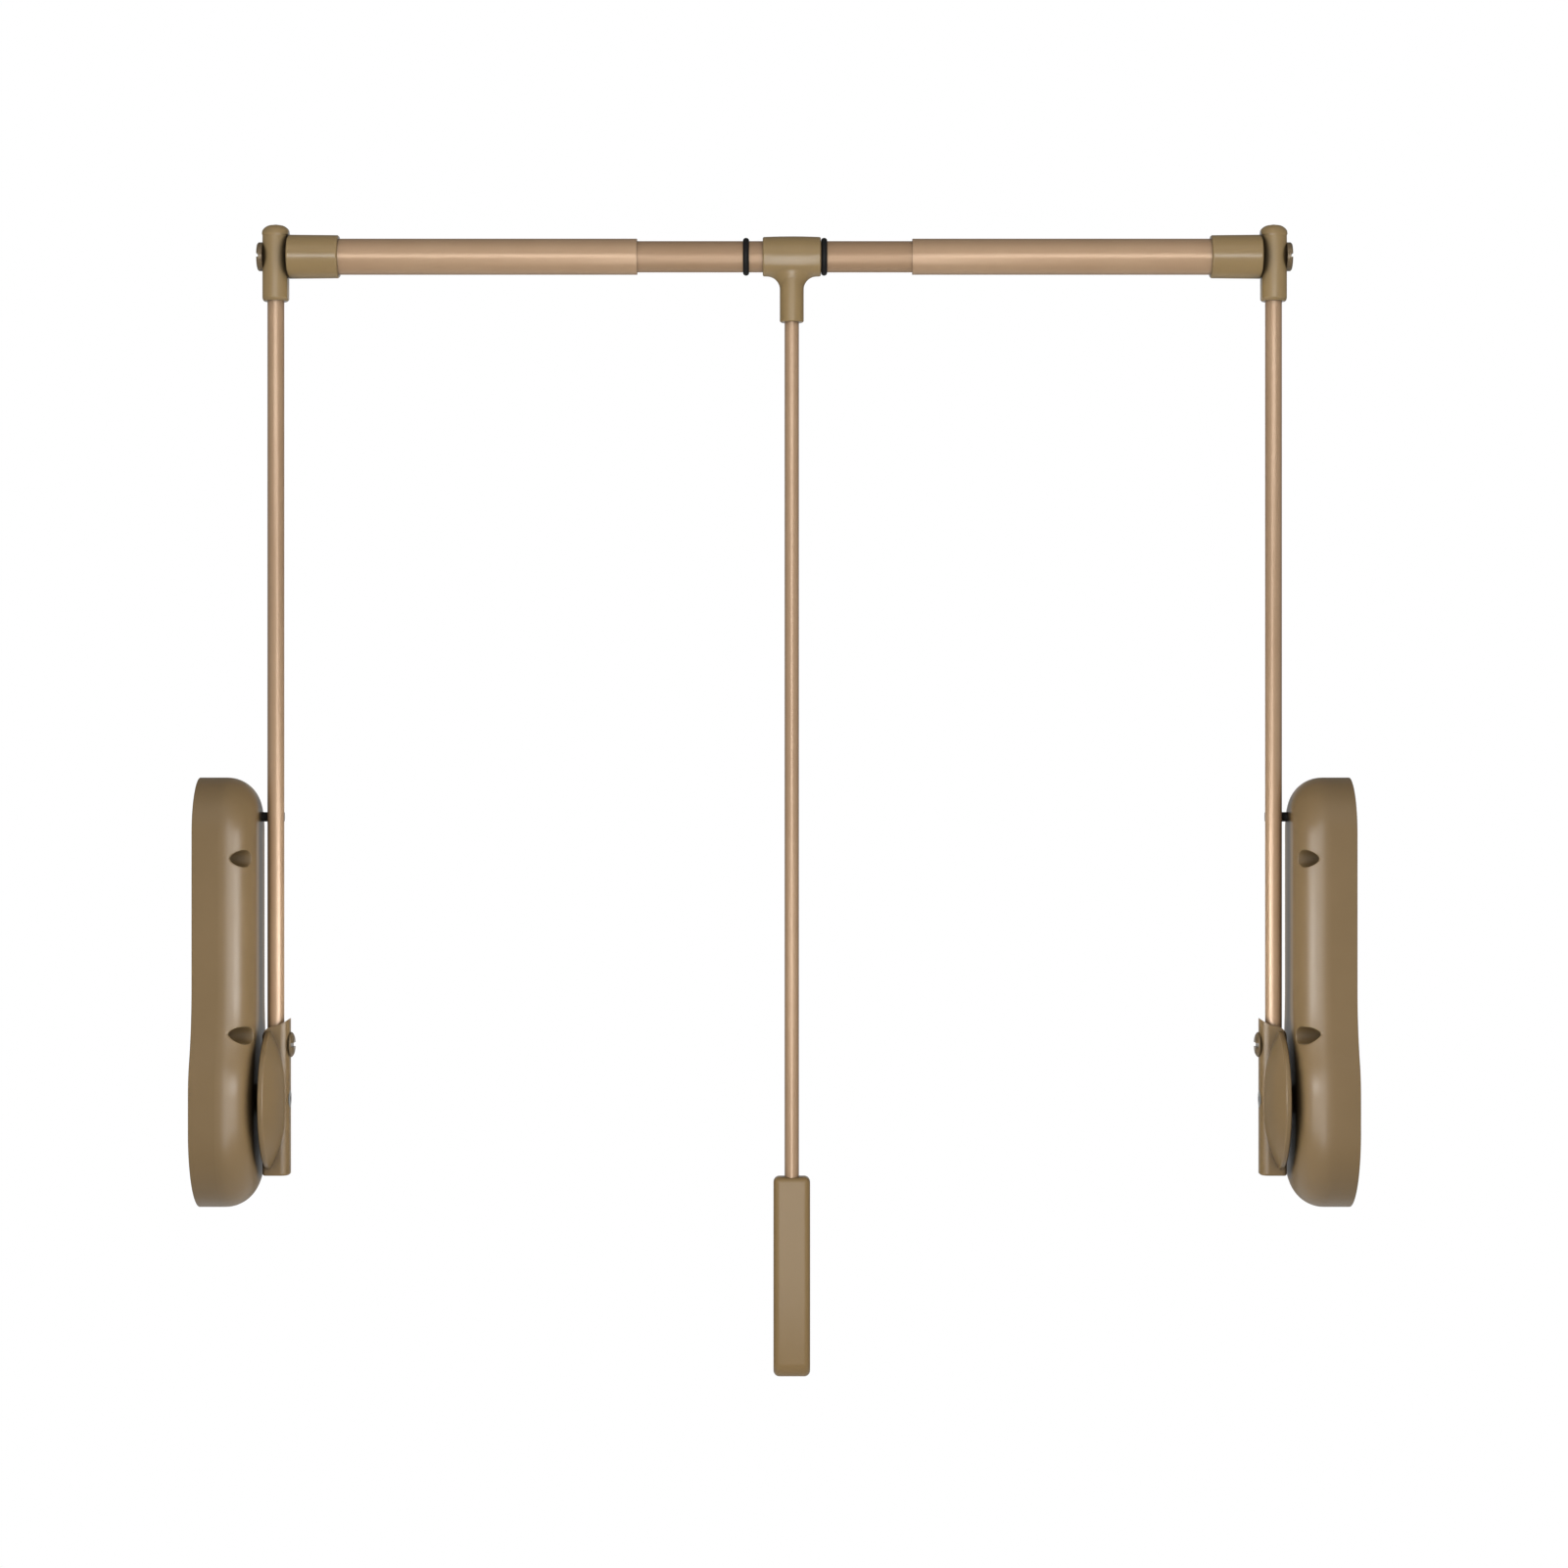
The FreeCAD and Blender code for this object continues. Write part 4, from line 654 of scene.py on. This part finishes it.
@dataclass(frozen=True)
class Studio:
    """Floor, world and camera, in metres.

    Each span of the room is read on the front-to-back part of a direction, from -1 at the
    camera's side to 1 at the far side.

    Attributes:
        camera_place: Where the camera stands.
        view_width: Width of the view where the side units hang.
        sensor_mm: Width of the camera's sensor in millimetres.
        middle: Middle of the floor, from the left wall.
        floor_level: Height of the floor.
        floor_radius: Radius of the floor.
        floor_steps: Number of sides of the floor's rim.
        floor_fade: Distances between which the seen floor turns to plain white.
        floor_least: Share of plain white in the middle of the floor.
        backdrop_colour: Colour behind the object.
        floor_colour: Colour of the floor cloth.
        room_front: Strength of the room's light on the camera's side.
        room_back: Strength of the room's light on the far side.
        room_span: Where the first turns to the second.
        mirrored_front: Strength of the camera's side in a reflection.
        mirrored_back: Strength of the far side in a reflection.
        mirrored_span: Where the first turns to the second in a reflection.
        paper_span: Where a reflection turns to the white backdrop behind the object.
    """

    camera_place: tuple[float, float, float] = (0.4878, -3.0, 0.1346)
    view_width: float = 1.3128
    sensor_mm: float = 36.0
    middle: float = 0.48
    floor_level: float = -1.0
    floor_radius: float = 2.0
    floor_steps: int = 96
    floor_fade: tuple[float, float] = (0.5, 1.9)
    floor_least: float = 0.35
    backdrop_colour: str = "#FFFFFF"
    floor_colour: str = "#F1F0EE"
    room_front: float = 0.5
    room_back: float = 0.2
    room_span: tuple[float, float] = (-0.1, 0.5)
    mirrored_front: float = 0.5
    mirrored_back: float = 0.2
    mirrored_span: tuple[float, float] = (-0.6, 0.3)
    paper_span: tuple[float, float] = (0.974, 0.982)

    def set_camera(self) -> None:
        """Place the camera level, square to the line from wall to wall."""
        data = bpy.data.cameras.new("camera")
        data.sensor_fit = "HORIZONTAL"
        data.sensor_width = self.sensor_mm
        data.lens = self.sensor_mm * abs(self.camera_place[1]) / self.view_width
        camera = put_in_scene("camera", data)
        camera.location = self.camera_place
        camera.rotation_euler = (math.pi / 2, 0, 0)
        bpy.context.scene.camera = camera

    def floor_material(self) -> bpy.types.Material:
        """Make the pale floor cloth, which turns to plain white further out for the camera.

        Returns:
            The material, which every other ray sees as the plain cloth.
        """
        material = bpy.data.materials.new("pale_floor")
        tree = empty_tree(material)
        where = add(tree, "ShaderNodeTexCoord").outputs["Object"]
        level = add(tree, "ShaderNodeMapping",
                    {"Location": (-self.middle, 0, 0), "Scale": (1, 1, 0)},
                    {"Vector": where}).outputs[0]
        away = add(tree, "ShaderNodeVectorMath", {"operation": "LENGTH"},
                   {0: level}).outputs["Value"]
        fade = add(tree, "ShaderNodeMapRange",
                   {"From Min": self.floor_fade[0], "From Max": self.floor_fade[1],
                    "To Min": self.floor_least}, {"Value": away}).outputs[0]
        seen = add(tree, "ShaderNodeLightPath").outputs["Is Camera Ray"]
        share = add(tree, "ShaderNodeMath", {"operation": "MULTIPLY"},
                    {0: fade, 1: seen}).outputs[0]
        cloth = add(tree, "ShaderNodeBsdfDiffuse", {"Color": linear(self.floor_colour)}).outputs[0]
        white = add(tree, "ShaderNodeEmission", {"Color": linear(self.backdrop_colour)}).outputs[0]
        both = add(tree, "ShaderNodeMixShader", None, {0: share, 1: cloth, 2: white}).outputs[0]
        add(tree, "ShaderNodeOutputMaterial", None, {"Surface": both})
        return material

    def lay_floor(self) -> None:
        """Lay a pale round floor well below the rail, which fades into the backdrop."""
        steps = range(self.floor_steps)
        turns = [2 * math.pi * step / self.floor_steps for step in steps]
        rim = [(self.middle + self.floor_radius * math.cos(turn),
                self.floor_radius * math.sin(turn), self.floor_level) for turn in turns]
        faces = [(0, 1 + step, 1 + (step + 1) % self.floor_steps) for step in steps]
        mesh = bpy.data.meshes.new("floor")
        mesh.from_pydata([(self.middle, 0.0, self.floor_level)] + rim, [], faces)
        mesh.materials.append(self.floor_material())
        floor = put_in_scene("floor", mesh)

    def light_world(self) -> None:
        """Light the room: white where the camera looks, and darker on the far side."""
        world = bpy.data.worlds.new("studio_room")
        bpy.context.scene.world = world
        tree = empty_tree(world)
        way = add(tree, "ShaderNodeTexCoord").outputs["Generated"]
        depth = add(tree, "ShaderNodeSeparateXYZ", None, {0: way}).outputs["Y"]
        path = add(tree, "ShaderNodeLightPath").outputs
        front = add(tree, "ShaderNodeMapRange",
                    {"From Min": self.mirrored_span[0], "From Max": self.mirrored_span[1],
                     "To Min": self.mirrored_front, "To Max": self.mirrored_back},
                    {"Value": depth}).outputs[0]
        paper = add(tree, "ShaderNodeMapRange",
                    {"From Min": self.paper_span[0], "From Max": self.paper_span[1]},
                    {"Value": depth}).outputs[0]
        mirrored = add(tree, "ShaderNodeMix", {"B": 1.0},
                       {"Factor": paper, "A": front}).outputs[0]
        plain = add(tree, "ShaderNodeMapRange",
                    {"From Min": self.room_span[0], "From Max": self.room_span[1],
                     "To Min": self.room_front, "To Max": self.room_back},
                    {"Value": depth}).outputs[0]
        level = add(tree, "ShaderNodeMix", None,
                    {"Factor": path["Is Glossy Ray"], "A": plain, "B": mirrored}).outputs[0]
        shown = add(tree, "ShaderNodeMath", {"operation": "MAXIMUM"},
                    {0: path["Is Camera Ray"], 1: path["Is Transmission Ray"]}).outputs[0]
        strength = add(tree, "ShaderNodeMix", {"B": 1.0},
                       {"Factor": shown, "A": level}).outputs[0]
        glow = add(tree, "ShaderNodeBackground", {"Color": linear(self.backdrop_colour)},
                   {"Strength": strength}).outputs[0]
        add(tree, "ShaderNodeOutputWorld", None, {"Surface": glow})

    def build(self) -> None:
        """Set up the camera, floor, world and lamps, and the plain view transform."""
        bpy.context.scene.view_settings.view_transform = "Standard"
        self.set_camera()
        self.lay_floor()
        self.light_world()
        for lamp in LAMPS:
            lamp.hang()
        log.info("studio: camera, floor, world and %d lamps", len(LAMPS))


def main() -> None:
    """Build the studio and dress every piece of the rail."""
    logging.basicConfig(level=logging.INFO, format="%(message)s")
    materials: dict[str, bpy.types.Material] = {}
    Studio().build()
    assemblies = [
        SideUnit("left side unit", SIDE_FINISHES, side=Side.LEFT),
        SideUnit("right side unit", SIDE_FINISHES, side=Side.RIGHT),
        Assembly("middle of the rail", CENTRE_FINISHES),
    ]
    for assembly in assemblies:
        assembly.build(materials)


if __name__ == "__main__":
    main()
